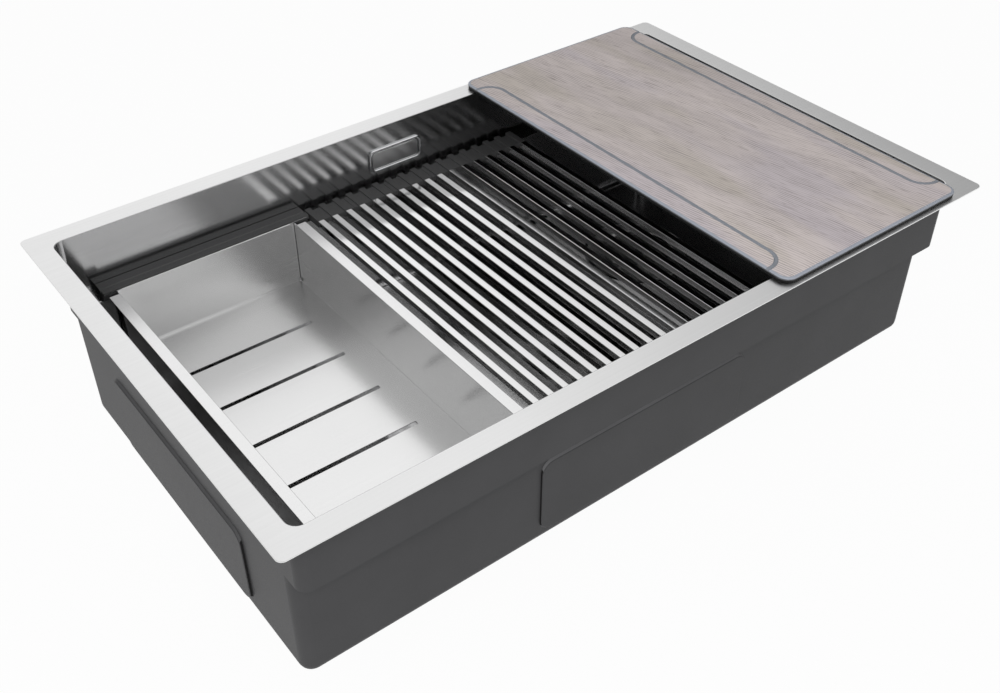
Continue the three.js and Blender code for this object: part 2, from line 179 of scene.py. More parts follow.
def over_edge(radius: float) -> list[Pair]:
    """Steps of a quarter round over an upper edge.

    Args:
        radius: Radius of the rounding.

    Returns:
        How far each step lies out from the wall, and below the edge.
    """
    angles = [math.radians(degrees) for degrees in (30, 60, 90)]
    return [(radius * (1 - math.sin(a)), radius * (1 - math.cos(a))) for a in angles]


def rounded_rectangle(half: Pair, radius: float, steps: int = 8) -> list[Pair]:
    """Outline of a rectangle with round corners, anticlockwise from its right side.

    Args:
        half: Half the width and half the height.
        radius: Corner radius.
        steps: Chords in each corner.

    Returns:
        Four groups of steps + 1 points, one for each corner.
    """
    outline: list[Pair] = []
    for quarter, (sx, sy) in enumerate(((1, 1), (-1, 1), (-1, -1), (1, -1))):
        cx, cy = sx * (half[0] - radius), sy * (half[1] - radius)
        turn = arc(radius, 90 * quarter, 90 * quarter + 90, steps)
        outline += [(cx + x, cy + y) for x, y in turn]
    return outline


def bent(profile: Sequence[Pair], radii: dict[int, float], steps: int = 4) -> list[Pair]:
    """A polyline with some of its corners rounded.

    Args:
        profile: Corner points.
        radii: Bend radius of each rounded corner, by its index.
        steps: Chords in each bend.

    Returns:
        The finer polyline.
    """
    line: list[Pair] = []
    for i, corner in enumerate(profile):
        if i not in radii:
            line.append(corner)
            continue
        here = Vector(corner)
        before = (Vector(profile[i - 1]) - here).normalized()
        after = (Vector(profile[(i + 1) % len(profile)]) - here).normalized()
        half_angle = before.angle(after) / 2
        reach = radii[i] / math.tan(half_angle)
        centre = here + (before + after).normalized() * (radii[i] / math.sin(half_angle))
        first, last = here + before * reach - centre, here + after * reach - centre
        sweep = first.angle_signed(last)
        for step in range(steps + 1):
            turned = first.copy()
            turned.rotate(Matrix.Rotation(-sweep * step / steps, 2))
            line.append(tuple(centre + turned))
    return line


class Sheet:
    """Faces gathered in millimetres of the part's frame, then made one object in metres."""

    def __init__(self) -> None:
        """Starts with no faces."""
        self.bm = bmesh.new()
        self.slot = 0

    def loop(self, points: Iterable[Point]) -> list[bmesh.types.BMVert]:
        """Adds the points as vertices and returns them."""
        return [self.bm.verts.new(p) for p in points]

    def face(self, verts: Sequence[bmesh.types.BMVert]) -> None:
        """Adds one face in the current material slot."""
        self.bm.faces.new(verts).material_index = self.slot

    def bridge(self, a: Sequence, b: Sequence, skip: Iterable[int] = (),
               closed: bool = True) -> None:
        """Joins two loops of equal length with quads.

        Args:
            a: First loop.
            b: Second loop.
            skip: Indices of the segments that get no face.
            closed: Whether the last segment runs back to the first vertex.
        """
        left_out = set(skip)
        for i in range(len(a) if closed else len(a) - 1):
            j = (i + 1) % len(a)
            if i not in left_out:
                self.face((a[i], a[j], b[j], b[i]))

    def plate(self, outline: Sequence, holes: Sequence[Sequence] = ()) -> None:
        """Fills a flat outline, leaving its holes open.

        Args:
            outline: Vertices of the outer edge.
            holes: Vertices of each hole's edge.
        """
        edges = []
        for ring in (outline, *holes):
            for i, vert in enumerate(ring):
                other = ring[(i + 1) % len(ring)]
                edges.append(self.bm.edges.get((vert, other)) or self.bm.edges.new((vert, other)))
        made = bmesh.ops.triangle_fill(self.bm, use_beauty=True, use_dissolve=False, edges=edges)
        for part in made["geom"]:
            if isinstance(part, bmesh.types.BMFace):
                part.material_index = self.slot

    def lathe(self, profile: Sequence[Pair], centre: Pair = (0, 0), segments: int = 96) -> None:
        """Turns a closed profile of (radius, height) round an upright axis.

        Args:
            profile: Points of the section; a radius of 0 lies on the axis.
            centre: Place of the axis.
            segments: Steps round the axis.
        """
        rings = []
        for radius, z in profile:
            if radius < 1e-6:
                rings.append([self.bm.verts.new((*centre, z))] * segments)
                continue
            turn = arc(radius, 0, 360, segments)[:-1]
            rings.append(self.loop((centre[0] + x, centre[1] + y, z) for x, y in turn))
        for a, b in zip(rings, rings[1:] + rings[:1]):
            for i in range(segments):
                j = (i + 1) % segments
                corners = list(dict.fromkeys((a[i], a[j], b[j], b[i])))
                if len(corners) > 2:
                    self.face(corners)

    def block(self, low: Point, high: Point) -> None:
        """Adds a closed box.

        Args:
            low: Its lowest corner.
            high: Its highest corner.
        """
        (x0, y0, z0), (x1, y1, z1) = low, high
        rings = [self.loop(((x0, y0, z), (x1, y0, z), (x1, y1, z), (x0, y1, z))) for z in (z0, z1)]
        self.bridge(*rings)
        self.face(rings[0])
        self.face(rings[1])

    def prism(self, section: Sequence[Pair], start: float, stop: float,
              axis: Axis = Axis.X) -> None:
        """Adds a closed bar of constant section.

        Args:
            section: Outline across the bar, (y, z) for a bar along X and (x, z) for one along Y.
            start: Where the bar starts on its axis.
            stop: Where it ends.
            axis: Axis along which the bar runs.
        """
        rings = [self.loop(axis.place(a, b, t) for a, b in section) for t in (start, stop)]
        self.bridge(*rings)
        self.face(rings[0])
        self.face(rings[1])

    def tube(self, path: Sequence[Point], radius: float, sides: int = 16) -> None:
        """Adds a closed round bar along a path that lies in one level plane.

        Args:
            path: Points of its centre line.
            radius: Radius of the bar.
            sides: Sides of its section.
        """
        rings = []
        points = [Vector(p) for p in path]
        for i, point in enumerate(points):
            ahead = points[min(i + 1, len(points) - 1)] - points[max(i - 1, 0)]
            across = ahead.normalized().cross(Vector((0, 0, 1)))
            rings.append(self.loop(tuple(point + across * x + Vector((0, 0, z)))
                                   for x, z in arc(radius, 0, 360, sides)[:-1]))
        for a, b in zip(rings, rings[1:]):
            self.bridge(a, b)
        self.face(rings[0])
        self.face(rings[-1])

    def make(self, name: str, sharp: float = SHARP, solid: bool = True) -> bpy.types.Object:
        """Makes the object in metres.

        Args:
            name: Name of the object.
            sharp: Angle in degrees past which an edge is drawn sharp.
            solid: Whether the faces close a volume and are to be turned outwards.

        Returns:
            The new object, linked to the scene.
        """
        if solid:
            bmesh.ops.recalc_face_normals(self.bm, faces=self.bm.faces)
        bmesh.ops.scale(self.bm, vec=(MM, MM, MM), verts=self.bm.verts)
        mesh = bpy.data.meshes.new(name)
        self.bm.to_mesh(mesh)
        self.bm.free()
        made = bpy.data.objects.new(name, mesh)
        bpy.context.scene.collection.objects.link(made)
        shade(made, sharp)
        return made


def shade(made: bpy.types.Object, sharp: float = SHARP) -> None:
    """Shades an object smooth, apart from its sharp edges.

    Args:
        made: The object.
        sharp: Angle in degrees past which an edge is drawn sharp.
    """
    bm = bmesh.new()
    bm.from_mesh(made.data)
    limit = math.radians(sharp)
    for part in bm.faces:
        part.smooth = True
    for edge in bm.edges:
        edge.smooth = len(edge.link_faces) == 2 and edge.calc_face_angle(math.pi) < limit
    bm.to_mesh(made.data)
    bm.free()


def settle(made: bpy.types.Object) -> bpy.types.Object:
    """Turns an object's modifiers into its mesh.

    Args:
        made: The object.

    Returns:
        The same object, with no modifiers.
    """
    seen = made.evaluated_get(bpy.context.evaluated_depsgraph_get())
    mesh = bpy.data.meshes.new_from_object(seen)
    mesh.name = made.name
    made.modifiers.clear()
    made.data = mesh
    return made


def weigh_normals(made: bpy.types.Object) -> bpy.types.Object:
    """Makes large flat faces look flat beside narrow bends.

    Args:
        made: The object.

    Returns:
        The same object.
    """
    change = made.modifiers.new("flat faces", "WEIGHTED_NORMAL")
    change.keep_sharp = True
    change.weight = 90
    return settle(made)


def soften(made: bpy.types.Object, width: float, segments: int = 3,
           angle: float = 30) -> bpy.types.Object:
    """Rounds an object's edges.

    Args:
        made: The object.
        width: Width of the rounding in millimetres.
        segments: Steps across it.
        angle: Edges under this angle in degrees are left.

    Returns:
        The same object.
    """
    change = made.modifiers.new("edges", "BEVEL")
    change.width = width * MM
    change.segments = segments
    change.limit_method = "ANGLE"
    change.angle_limit = math.radians(angle)
    change.use_clamp_overlap = True
    settle(made)
    shade(made, 40)
    return weigh_normals(made)


def carve(made: bpy.types.Object, tool: bpy.types.Object,
          carving: Carving = Carving.REMOVE) -> bpy.types.Object:
    """Cuts one solid with another, or joins it on, and removes the tool.

    Args:
        made: The solid that stays.
        tool: The solid that is used up.
        carving: Whether the tool is cut away or joined on.

    Returns:
        The solid that stays.
    """
    change = made.modifiers.new("carve", "BOOLEAN")
    change.operation = carving.value
    change.solver = "EXACT"
    change.object = tool
    change.material_mode = "TRANSFER"
    settle(made)
    bpy.data.objects.remove(tool)
    return made


# --------------------------------------------------------------------------- node trees


class Nodes:
    """A node tree under construction, with a short call for its nodes."""

    def __init__(self, tree: bpy.types.NodeTree, prefix: str) -> None:
        """Takes a tree and the prefix of its usual node types."""
        self.tree = tree
        self.prefix = prefix

    def node(self, kind: str, inputs: dict[str | int, object] | None = None,
             **settings: object) -> bpy.types.Node:
        """Adds a node.

        Args:
            kind: Its type, without the tree's prefix, or a full type name.
            inputs: For each input a socket to link, a list of them, or a value to set.
            **settings: Properties of the node.

        Returns:
            The new node.
        """
        whole_name = kind.startswith(("ShaderNode", "FunctionNode"))
        made = self.tree.nodes.new(kind if whole_name else self.prefix + kind)
        for key, value in settings.items():
            setattr(made, key, value)
        for key, value in (inputs or {}).items():
            for each in value if isinstance(value, list) else [value]:
                self.give(made.inputs[key], each)
        return made

    def give(self, socket: bpy.types.NodeSocket, value: object) -> None:
        """Links an input to a socket, or sets its value.

        Args:
            socket: The input.
            value: The socket that feeds it, or its value.
        """
        if isinstance(value, bpy.types.NodeSocket):
            self.tree.links.new(value, socket)
        else:
            socket.default_value = value


class NodeSize(Enum):
    """Kinds of named input that a geometry node tree offers."""

    LENGTH = "NodeSocketFloat"
    COUNT = "NodeSocketInt"
    PLACE = "NodeSocketVector"
    FINISH = "NodeSocketMaterial"
    SHAPE = "NodeSocketObject"


class Recipe(Nodes):
    """A geometry node tree with named inputs, and the values that they get."""

    def __init__(self, name: str) -> None:
        """Makes an empty tree of that name."""
        super().__init__(bpy.data.node_groups.new(name, "GeometryNodeTree"), "GeometryNode")
        self.tree.interface.new_socket("Geometry", in_out="INPUT", socket_type="NodeSocketGeometry")
        self.tree.interface.new_socket("Geometry", in_out="OUTPUT",
                                       socket_type="NodeSocketGeometry")
        self.values: dict[str, object] = {}
        self.entry = self.tree.nodes.new("NodeGroupInput")
        self.outlet = self.tree.nodes.new("NodeGroupOutput")

    def size(self, name: str, kind: NodeSize, value: object) -> bpy.types.NodeSocket:
        """Adds a named input.

        Args:
            name: Name of the input.
            kind: What it holds.
            value: Value it gets on the modifier.

        Returns:
            The socket that gives the value inside the tree.
        """
        item = self.tree.interface.new_socket(name, in_out="INPUT", socket_type=kind.value)
        self.values[item.identifier] = value
        return self.entry.outputs[name]

    def make(self, name: str, shape: bpy.types.NodeSocket, finish: bpy.types.Material,
             start: bpy.types.Object | None = None, sharp: float = SHARP) -> bpy.types.Object:
        """Ends the tree and turns its result into a plain mesh object.

        Args:
            name: Name of the object.
            shape: Socket that gives the geometry.
            finish: Material of every face.
            start: Object whose mesh enters the tree, if any; it is used up.
            sharp: Angle in degrees past which an edge is drawn sharp.

        Returns:
            The new object.
        """
        material = self.size("Finish", NodeSize.FINISH, finish)
        real = self.node("RealizeInstances", {"Geometry": shape})
        dressed = self.node("SetMaterial", {"Geometry": real.outputs[0], "Material": material})
        self.tree.links.new(dressed.outputs[0], self.outlet.inputs[0])
        made = start
        if made is None:
            made = bpy.data.objects.new(name, bpy.data.meshes.new(name))
            bpy.context.scene.collection.objects.link(made)
        made.name = name
        change = made.modifiers.new("rule", "NODES")
        change.node_group = self.tree
        for identifier, value in self.values.items():
            change[identifier] = value
        settle(made)
        shade(made, sharp)
        return weigh_normals(made)


# --------------------------------------------------------------------------- finishes


class Shading(Nodes):
    """A material under construction, with short calls for what finishes share."""

    def __init__(self, name: str) -> None:
        """Makes a material with a principled shader."""
        self.material = bpy.data.materials.new(name)
        self.material.use_nodes = True
        super().__init__(self.material.node_tree, "ShaderNode")
        self.surface = self.tree.nodes["Principled BSDF"]
        self.coordinates = self.tree.nodes.new("ShaderNodeTexCoord")

    def noise(self, scale: Point, detail: float = 3,
              roughness: float = 0.6) -> bpy.types.NodeSocket:
        """Noise on the object's own coordinates.

        Args:
            scale: Cells to the metre along X, Y and Z.
            detail: Octaves.
            roughness: Weight of the finer octaves.

        Returns:
            The noise's value.
        """
        place = self.node("Mapping", {"Vector": self.coordinates.outputs["Object"], "Scale": scale})
        return self.node("TexNoise", {"Vector": place.outputs[0], "Scale": 1.0, "Detail": detail,
                                      "Roughness": roughness}).outputs["Fac"]

    def spread(self, value: bpy.types.NodeSocket, low: float, high: float,
               start: float = 0.3, stop: float = 0.7) -> bpy.types.NodeSocket:
        """Maps a value from one range to another, held at both ends.

        Args:
            value: The value.
            low: Result at the start.
            high: Result at the stop.
            start: Value that gives the low result.
            stop: Value that gives the high one.

        Returns:
            The result.
        """
        return self.node("MapRange", {"Value": value, "From Min": start, "From Max": stop,
                                      "To Min": low, "To Max": high}).outputs[0]

    def blend(self, share: bpy.types.NodeSocket, first: object,
              second: object) -> bpy.types.NodeSocket:
        """Mixes two colours.

        Args:
            share: Share of the second colour.
            first: A colour, or the socket that gives it.
            second: The same for the other one.

        Returns:
            The mixed colour.
        """
        return self.node("Mix", {0: share, 6: first, 7: second}, data_type="RGBA").outputs[2]

    def relief(self, height: bpy.types.NodeSocket, depth: float) -> None:
        """Bumps the surface by a height map, with its full depth in millimetres."""
        bump = self.node("Bump", {"Height": height, "Distance": depth * MM, "Strength": 1.0})
        self.feed("Normal", bump.outputs[0])

    def feed(self, socket: str, value: object) -> None:
        """Links or sets one of the shader's sockets."""
        self.give(self.surface.inputs[socket], value)


def tone(colour: Colour, factor: float = 1.0) -> tuple[float, float, float, float]:
    """A colour with alpha, made lighter or darker by a factor."""
    return (*(c * factor for c in colour), 1.0)


class Grain(Enum):
    """Directions in which level faces are brushed; walls are brushed level."""

    ALONG_X = (5.0, 2200.0, 5.0)
    ALONG_Y = (2200.0, 5.0, 5.0)
    ROUND = (60.0, 60.0, 60.0)


WALL_GRAIN = (5.0, 5.0, 2200.0)


@dataclass(frozen=True)
class BrushedSteel:
    """Steel with fine parallel brushing."""

    name: str
    colour: Colour = (0.72, 0.72, 0.72)
    roughness: float = 0.3
    grain: Grain = Grain.ALONG_X
    stretch: float = 0.6
    scratch: float = 0.001
    streak: float = 0.04

    def material(self) -> bpy.types.Material:
        """Builds the material and returns it."""
        work = Shading(self.name)
        streaks, broad = self.brushing(work, 1.0), self.brushing(work, 0.2)
        clouds = work.noise((9, 9, 9), 2)
        work.feed("Metallic", 1.0)
        fine = work.spread(streaks, 1 - self.streak, 1.0)
        wide = work.spread(broad, 1 - self.streak, 1.0)
        shift = work.node("Math", {0: fine, 1: wide}, operation="MULTIPLY")
        work.feed("Base Color",
                  work.blend(shift.outputs[0], tone(self.colour, 0.0), tone(self.colour)))
        rough = work.node("Math", {0: work.spread(streaks, -0.015, 0.015),
                                   1: work.spread(clouds, self.roughness - 0.015,
                                                  self.roughness + 0.015)})
        work.feed("Roughness", rough.outputs[0])
        if self.grain is not Grain.ROUND:
            work.feed("Anisotropic", self.stretch)
            work.feed("Tangent", self.tangent(work))
        work.relief(streaks, self.scratch)
        return work.material

    def brushing(self, work: Shading, scale: float) -> bpy.types.NodeSocket:
        """Noise drawn out along the brushing of each face.

        Args:
            work: The material under construction.
            scale: Fineness, 1 for the finest strokes.

        Returns:
            The noise's value.
        """
        flat = work.node("VectorMath", {0: work.coordinates.outputs["Normal"], 1: (0, 0, 1)},
                         operation="DOT_PRODUCT")
        steep = work.node("Math", {0: flat.outputs["Value"]}, operation="ABSOLUTE")
        level = work.node("Math", {0: steep.outputs[0], 1: 0.7}, operation="GREATER_THAN")
        sizes = [tuple(v * scale for v in grain) for grain in (
            self.grain.value if self.grain is Grain.ROUND else WALL_GRAIN, self.grain.value)]
        chosen = work.node("Mix", {0: level.outputs[0], 4: sizes[0], 5: sizes[1]},
                           data_type="VECTOR")
        place = work.node("VectorMath",
                          {0: work.coordinates.outputs["Object"], 1: chosen.outputs[1]},
                          operation="MULTIPLY")
        return work.node("TexNoise", {"Vector": place.outputs[0], "Scale": 1.0, "Detail": 3.0,
                                      "Roughness": 0.6}).outputs["Fac"]

    def tangent(self, work: Shading) -> bpy.types.NodeSocket:
        """Direction across the brushing on each face, in which its highlights spread.

        The brushing runs level on walls, and along its own axis on level faces.

        Args:
            work: The material under construction.

        Returns:
            The direction in world space.
        """
        normal = work.coordinates.outputs["Normal"]
        level = work.node("VectorMath", {0: normal, 1: (0, 0, 1)}, operation="CROSS_PRODUCT")
        flat = work.node("VectorMath", {0: normal, 1: (0, 0, 1)}, operation="DOT_PRODUCT")
        axis = (1, 0, 0) if self.grain is Grain.ALONG_X else (0, 1, 0)
        along = work.node("VectorMath", {0: axis, "Scale": flat.outputs["Value"]},
                          operation="SCALE")
        both = work.node("VectorMath", {0: level.outputs[0], 1: along.outputs[0]})
        across = work.node("VectorMath", {0: normal, 1: both.outputs[0]}, operation="CROSS_PRODUCT")
        turned = work.node("VectorTransform", {0: across.outputs[0]},
                           vector_type="VECTOR", convert_from="OBJECT", convert_to="WORLD")
        return turned.outputs[0]


@dataclass(frozen=True)
class Coating:
    """Sprayed or moulded finish with a fine grain."""

    name: str
    colour: Colour
    roughness: float = 0.5
    grain: float = 900.0
    depth: float = 0.03
    variation: float = 0.06
    gloss: float = 0.5

    def material(self) -> bpy.types.Material:
        """Builds the material and returns it."""
        work = Shading(self.name)
        fine = work.noise((self.grain,) * 3, 3)
        clouds = work.noise((14, 14, 14), 3)
        share = work.spread(clouds, 0.0, 1.0)
        base = work.blend(share, tone(self.colour, 1 - self.variation),
                          tone(self.colour, 1 + self.variation))
        work.feed("Base Color", base)
        work.feed("Roughness", work.spread(fine, self.roughness - 0.05, self.roughness + 0.05))
        work.feed("Specular IOR Level", self.gloss)
        work.relief(fine, self.depth)
        return work.material


@dataclass(frozen=True)
class Chrome:
    """Polished plating."""

    name: str
    colour: Colour = (0.82, 0.83, 0.84)
    roughness: float = 0.06

    def material(self) -> bpy.types.Material:
        """Builds the material and returns it."""
        work = Shading(self.name)
        film = work.noise((120, 120, 120), 2)
        work.feed("Metallic", 1.0)
        work.feed("Base Color", tone(self.colour))
        work.feed("Roughness", work.spread(film, self.roughness, self.roughness + 0.04))
        work.relief(film, 0.002)
        return work.material


@dataclass(frozen=True)
class Oak:
    """Greyed oak with its grain along Y, a little aslant."""

    name: str
    pale: Colour = (0.72, 0.645, 0.625)
    mid: Colour = (0.57, 0.51, 0.5)
    dark: Colour = (0.17, 0.14, 0.13)
    olive: Colour = (0.55, 0.5, 0.41)
    lilac: Colour = (0.58, 0.53, 0.6)
    lean: float = -0.185

    def grown(self, work: Shading) -> bpy.types.NodeSocket:
        """Coordinates that lean with the grain and wander a little to both sides of it.

        Args:
            work: The material under construction.

        Returns:
            The coordinates.
        """
        swing = work.node("TexNoise",
                          {"Vector": work.coordinates.outputs["Object"], "Scale": 5.0,
                           "Detail": 2.0})
        drift = work.node("VectorMath", {0: swing.outputs["Color"], 1: (0.5, 0.5, 0.5)},
                          operation="SUBTRACT")
        small = work.node("VectorMath", {0: drift.outputs[0], 1: (0.022, 0.0, 0.0)},
                          operation="MULTIPLY")
        bent_grain = work.node("VectorMath",
                               {0: work.coordinates.outputs["Object"], 1: small.outputs[0]})
        return work.node("Mapping",
                         {"Vector": bent_grain.outputs[0],
                          "Rotation": (0, 0, self.lean)}).outputs[0]

    def layer(self, work: Shading, place: bpy.types.NodeSocket, scale: Point, detail: float,
              roughness: float) -> bpy.types.NodeSocket:
        """Noise on the grain's own coordinates.

        Args:
            work: The material under construction.
            place: The grain's own coordinates.
            scale: Cells to the metre along X, Y and Z.
            detail: Octaves.
            roughness: Weight of the finer octaves.

        Returns:
            The noise's value.
        """
        stretched = work.node("VectorMath", {0: place, 1: scale}, operation="MULTIPLY")
        return work.node("TexNoise",
                         {"Vector": stretched.outputs[0], "Scale": 1.0, "Detail": detail,
                                      "Roughness": roughness}).outputs["Fac"]

    def lines(self, work: Shading, place: bpy.types.NodeSocket,
              patches: bpy.types.NodeSocket) -> bpy.types.NodeSocket:
        """Even fine lines along the grain, stronger in some places than in others.

        Args:
            work: The material under construction.
            place: The grain's own coordinates.
            patches: Noise that breaks the lines up.

        Returns:
            The share of the darker colour.
        """
        drawn = work.node("VectorMath", {0: place, 1: (1.0, 0.1, 1.0)}, operation="MULTIPLY")
        wave = work.node("TexWave",
                         {"Vector": drawn.outputs[0], "Scale": 108.0, "Distortion": 7.0,
                          "Detail": 3.0,
                                     "Detail Scale": 0.5, "Detail Roughness": 0.6})
        share = work.node("Math", {0: work.spread(wave.outputs["Fac"], 0, 1, 0.35, 1.0),
                                   1: work.spread(patches, 0.15, 0.75, 0.35, 0.65)},
                          operation="MULTIPLY")
        return share.outputs[0]

    def material(self) -> bpy.types.Material:
        """Builds the material and returns it."""
        work = Shading(self.name)
        place = self.grown(work)
        bands = self.layer(work, place, (30, 1.6, 30), 4, 0.6)
        rings = self.layer(work, place, (90, 22, 90), 4, 0.7)
        fibres = self.layer(work, place, (900, 18, 900), 4, 0.65)
        pores = self.layer(work, place, (800, 45, 800), 3, 0.6)
        tint = work.noise((13, 3.0, 13), 2)
        streaks = self.layer(work, place, (60, 7, 60), 4, 0.7)
        base = work.blend(work.spread(bands, 0.3, 1, 0.3, 0.6), tone(self.mid), tone(self.pale))
        base = work.blend(work.spread(tint, 0, 0.45, 0.52, 0.62), base, tone(self.lilac))
        base = work.blend(work.spread(tint, 0.45, 0, 0.38, 0.48), base, tone(self.olive))
        base = work.blend(self.lines(work, place, rings), base, tone(self.mid, 0.42))
        base = work.blend(work.spread(fibres, 0, 0.18, 0.45, 0.75), base, tone(self.mid, 0.6))
        base = work.blend(work.spread(pores, 0, 0.6, 0.6, 0.72), base, tone(self.dark))
        base = work.blend(work.spread(streaks, 0, 0.2, 0.7, 0.82), base, tone(self.dark, 1.6))
        work.feed("Base Color", base)
        work.feed("Roughness", work.spread(pores, 0.5, 0.7))
        work.feed("Specular IOR Level", 0.35)
        work.relief(pores, 0.08)
        return work.material


class Palette:
    """All finishes of the part, each made once."""

    def __init__(self) -> None:
        """Builds the materials."""
        self.bowl = BrushedSteel("bowl steel", (0.72, 0.72, 0.725), 0.165, stretch=0.5,
                                 scratch=0.0004).material()
        self.flange = BrushedSteel("flange steel", (0.87, 0.87, 0.87), 0.32, scratch=0.0006,
                                   streak=0.035).material()
        self.coating = Coating("sound coating", (0.057, 0.057, 0.059), 0.45, gloss=0.12).material()
        # Paler copies of the coating for the upward-facing sides of the pads: painted light,
        # strongest below the ledges.
        self.ledge_slope_painted_light = Coating("coated slope below a ledge", (0.12, 0.12, 0.124), 0.45,
                                   gloss=0.12).material()
        self.end_slope_painted_light = Coating("coated slope on an end wall", (0.078, 0.078, 0.08), 0.45,
                                 gloss=0.12).material()
        # Near black, drawn on the pads' sideways-facing sides.
        self.pad_edge = Coating("pad rubber", (0.012, 0.012, 0.012), 0.8, gloss=0.2).material()
        self.tray = BrushedSteel("tray steel", (0.88, 0.88, 0.88), 0.25, streak=0.02).material()
        # A darker copy of the tray's steel for the outward faces of its walls: painted shade.
        self.tray_outside_painted_shade = BrushedSteel("tray outside", (0.3, 0.3, 0.3), 0.35,
                                         scratch=0.0004).material()
        # Near black for the walls of the slots and the corner seams: painted shade.
        self.cut = BrushedSteel("cut edge", (0.05, 0.05, 0.05), 0.4).material()
        self.bars = BrushedSteel("bar steel", (0.86, 0.86, 0.86), 0.12, Grain.ALONG_Y, 0.3, 0.0003,
                                 0.015).material()
        self.silicone = Coating("dark silicone", (0.055, 0.055, 0.056), 0.55, 1200, 0.02,
                                0.04).material()
        self.shaded_silicone = Coating("shaded silicone", (0.006, 0.006, 0.006), 0.8,
                                       gloss=0.1).material()
        self.rubber = Coating("gasket rubber", (0.012, 0.012, 0.012), 0.7, gloss=0.3).material()
        self.chrome = Chrome("chrome").material()
        self.plate = Chrome("cover chrome", (0.8, 0.8, 0.805), 0.3).material()
        self.turned = BrushedSteel("turned steel", (0.7, 0.7, 0.7), 0.24, Grain.ROUND).material()
        self.plastic = Coating("white plastic", (0.72, 0.72, 0.71), 0.45, 500, 0.01,
                               0.02).material()
        self.card = Coating("card", (0.42, 0.31, 0.19), 0.9, 700, 0.05, 0.12, 0.2).material()
        self.oak = Oak("greyed oak").material()
        # The side, bevel and grooves all show the board's grey core; the side and groove copies are
        # drawn darker as painted shade.
        self.board_edge_painted_shade = Coating("board core", (0.13, 0.135, 0.145), 0.5, 700, 0.02,
                                  0.04).material()
        self.board_bevel = Coating("board bevel", (0.36, 0.385, 0.44), 0.45, 700, 0.02,
                                   0.04).material()
        self.board_groove_painted_shade = Coating("board groove", (0.24, 0.255, 0.285), 0.45, 700, 0.02,
                                    0.04).material()
        self.board_base = Coating("board silicone", (0.010, 0.010, 0.010), 0.6, 900,
                                  0.02).material()


# --------------------------------------------------------------------------- sub-assemblies


def dress(made: bpy.types.Object, finishes: Sequence[bpy.types.Material], body: str,
          nodes: Sequence[str]) -> bpy.types.Object:
    """Gives a piece its finishes, its body and the nodes that it stands for.

    Args:
        made: The piece.
        finishes: Materials in the order of its slots; none where the mesh has them.
        body: Body that it moves with.
        nodes: Nodes that it replaces.

    Returns:
        The same piece.
    """
    if finishes:
        kept = [p.material_index for p in made.data.polygons]
        made.data.materials.clear()
        for finish in finishes:
            made.data.materials.append(finish)
        made.data.polygons.foreach_set("material_index", kept)
    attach(made, body)
    if nodes:
        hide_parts(*nodes)
    LOG.info("%s: %d faces on %s", made.name, len(made.data.polygons), body)
    return made


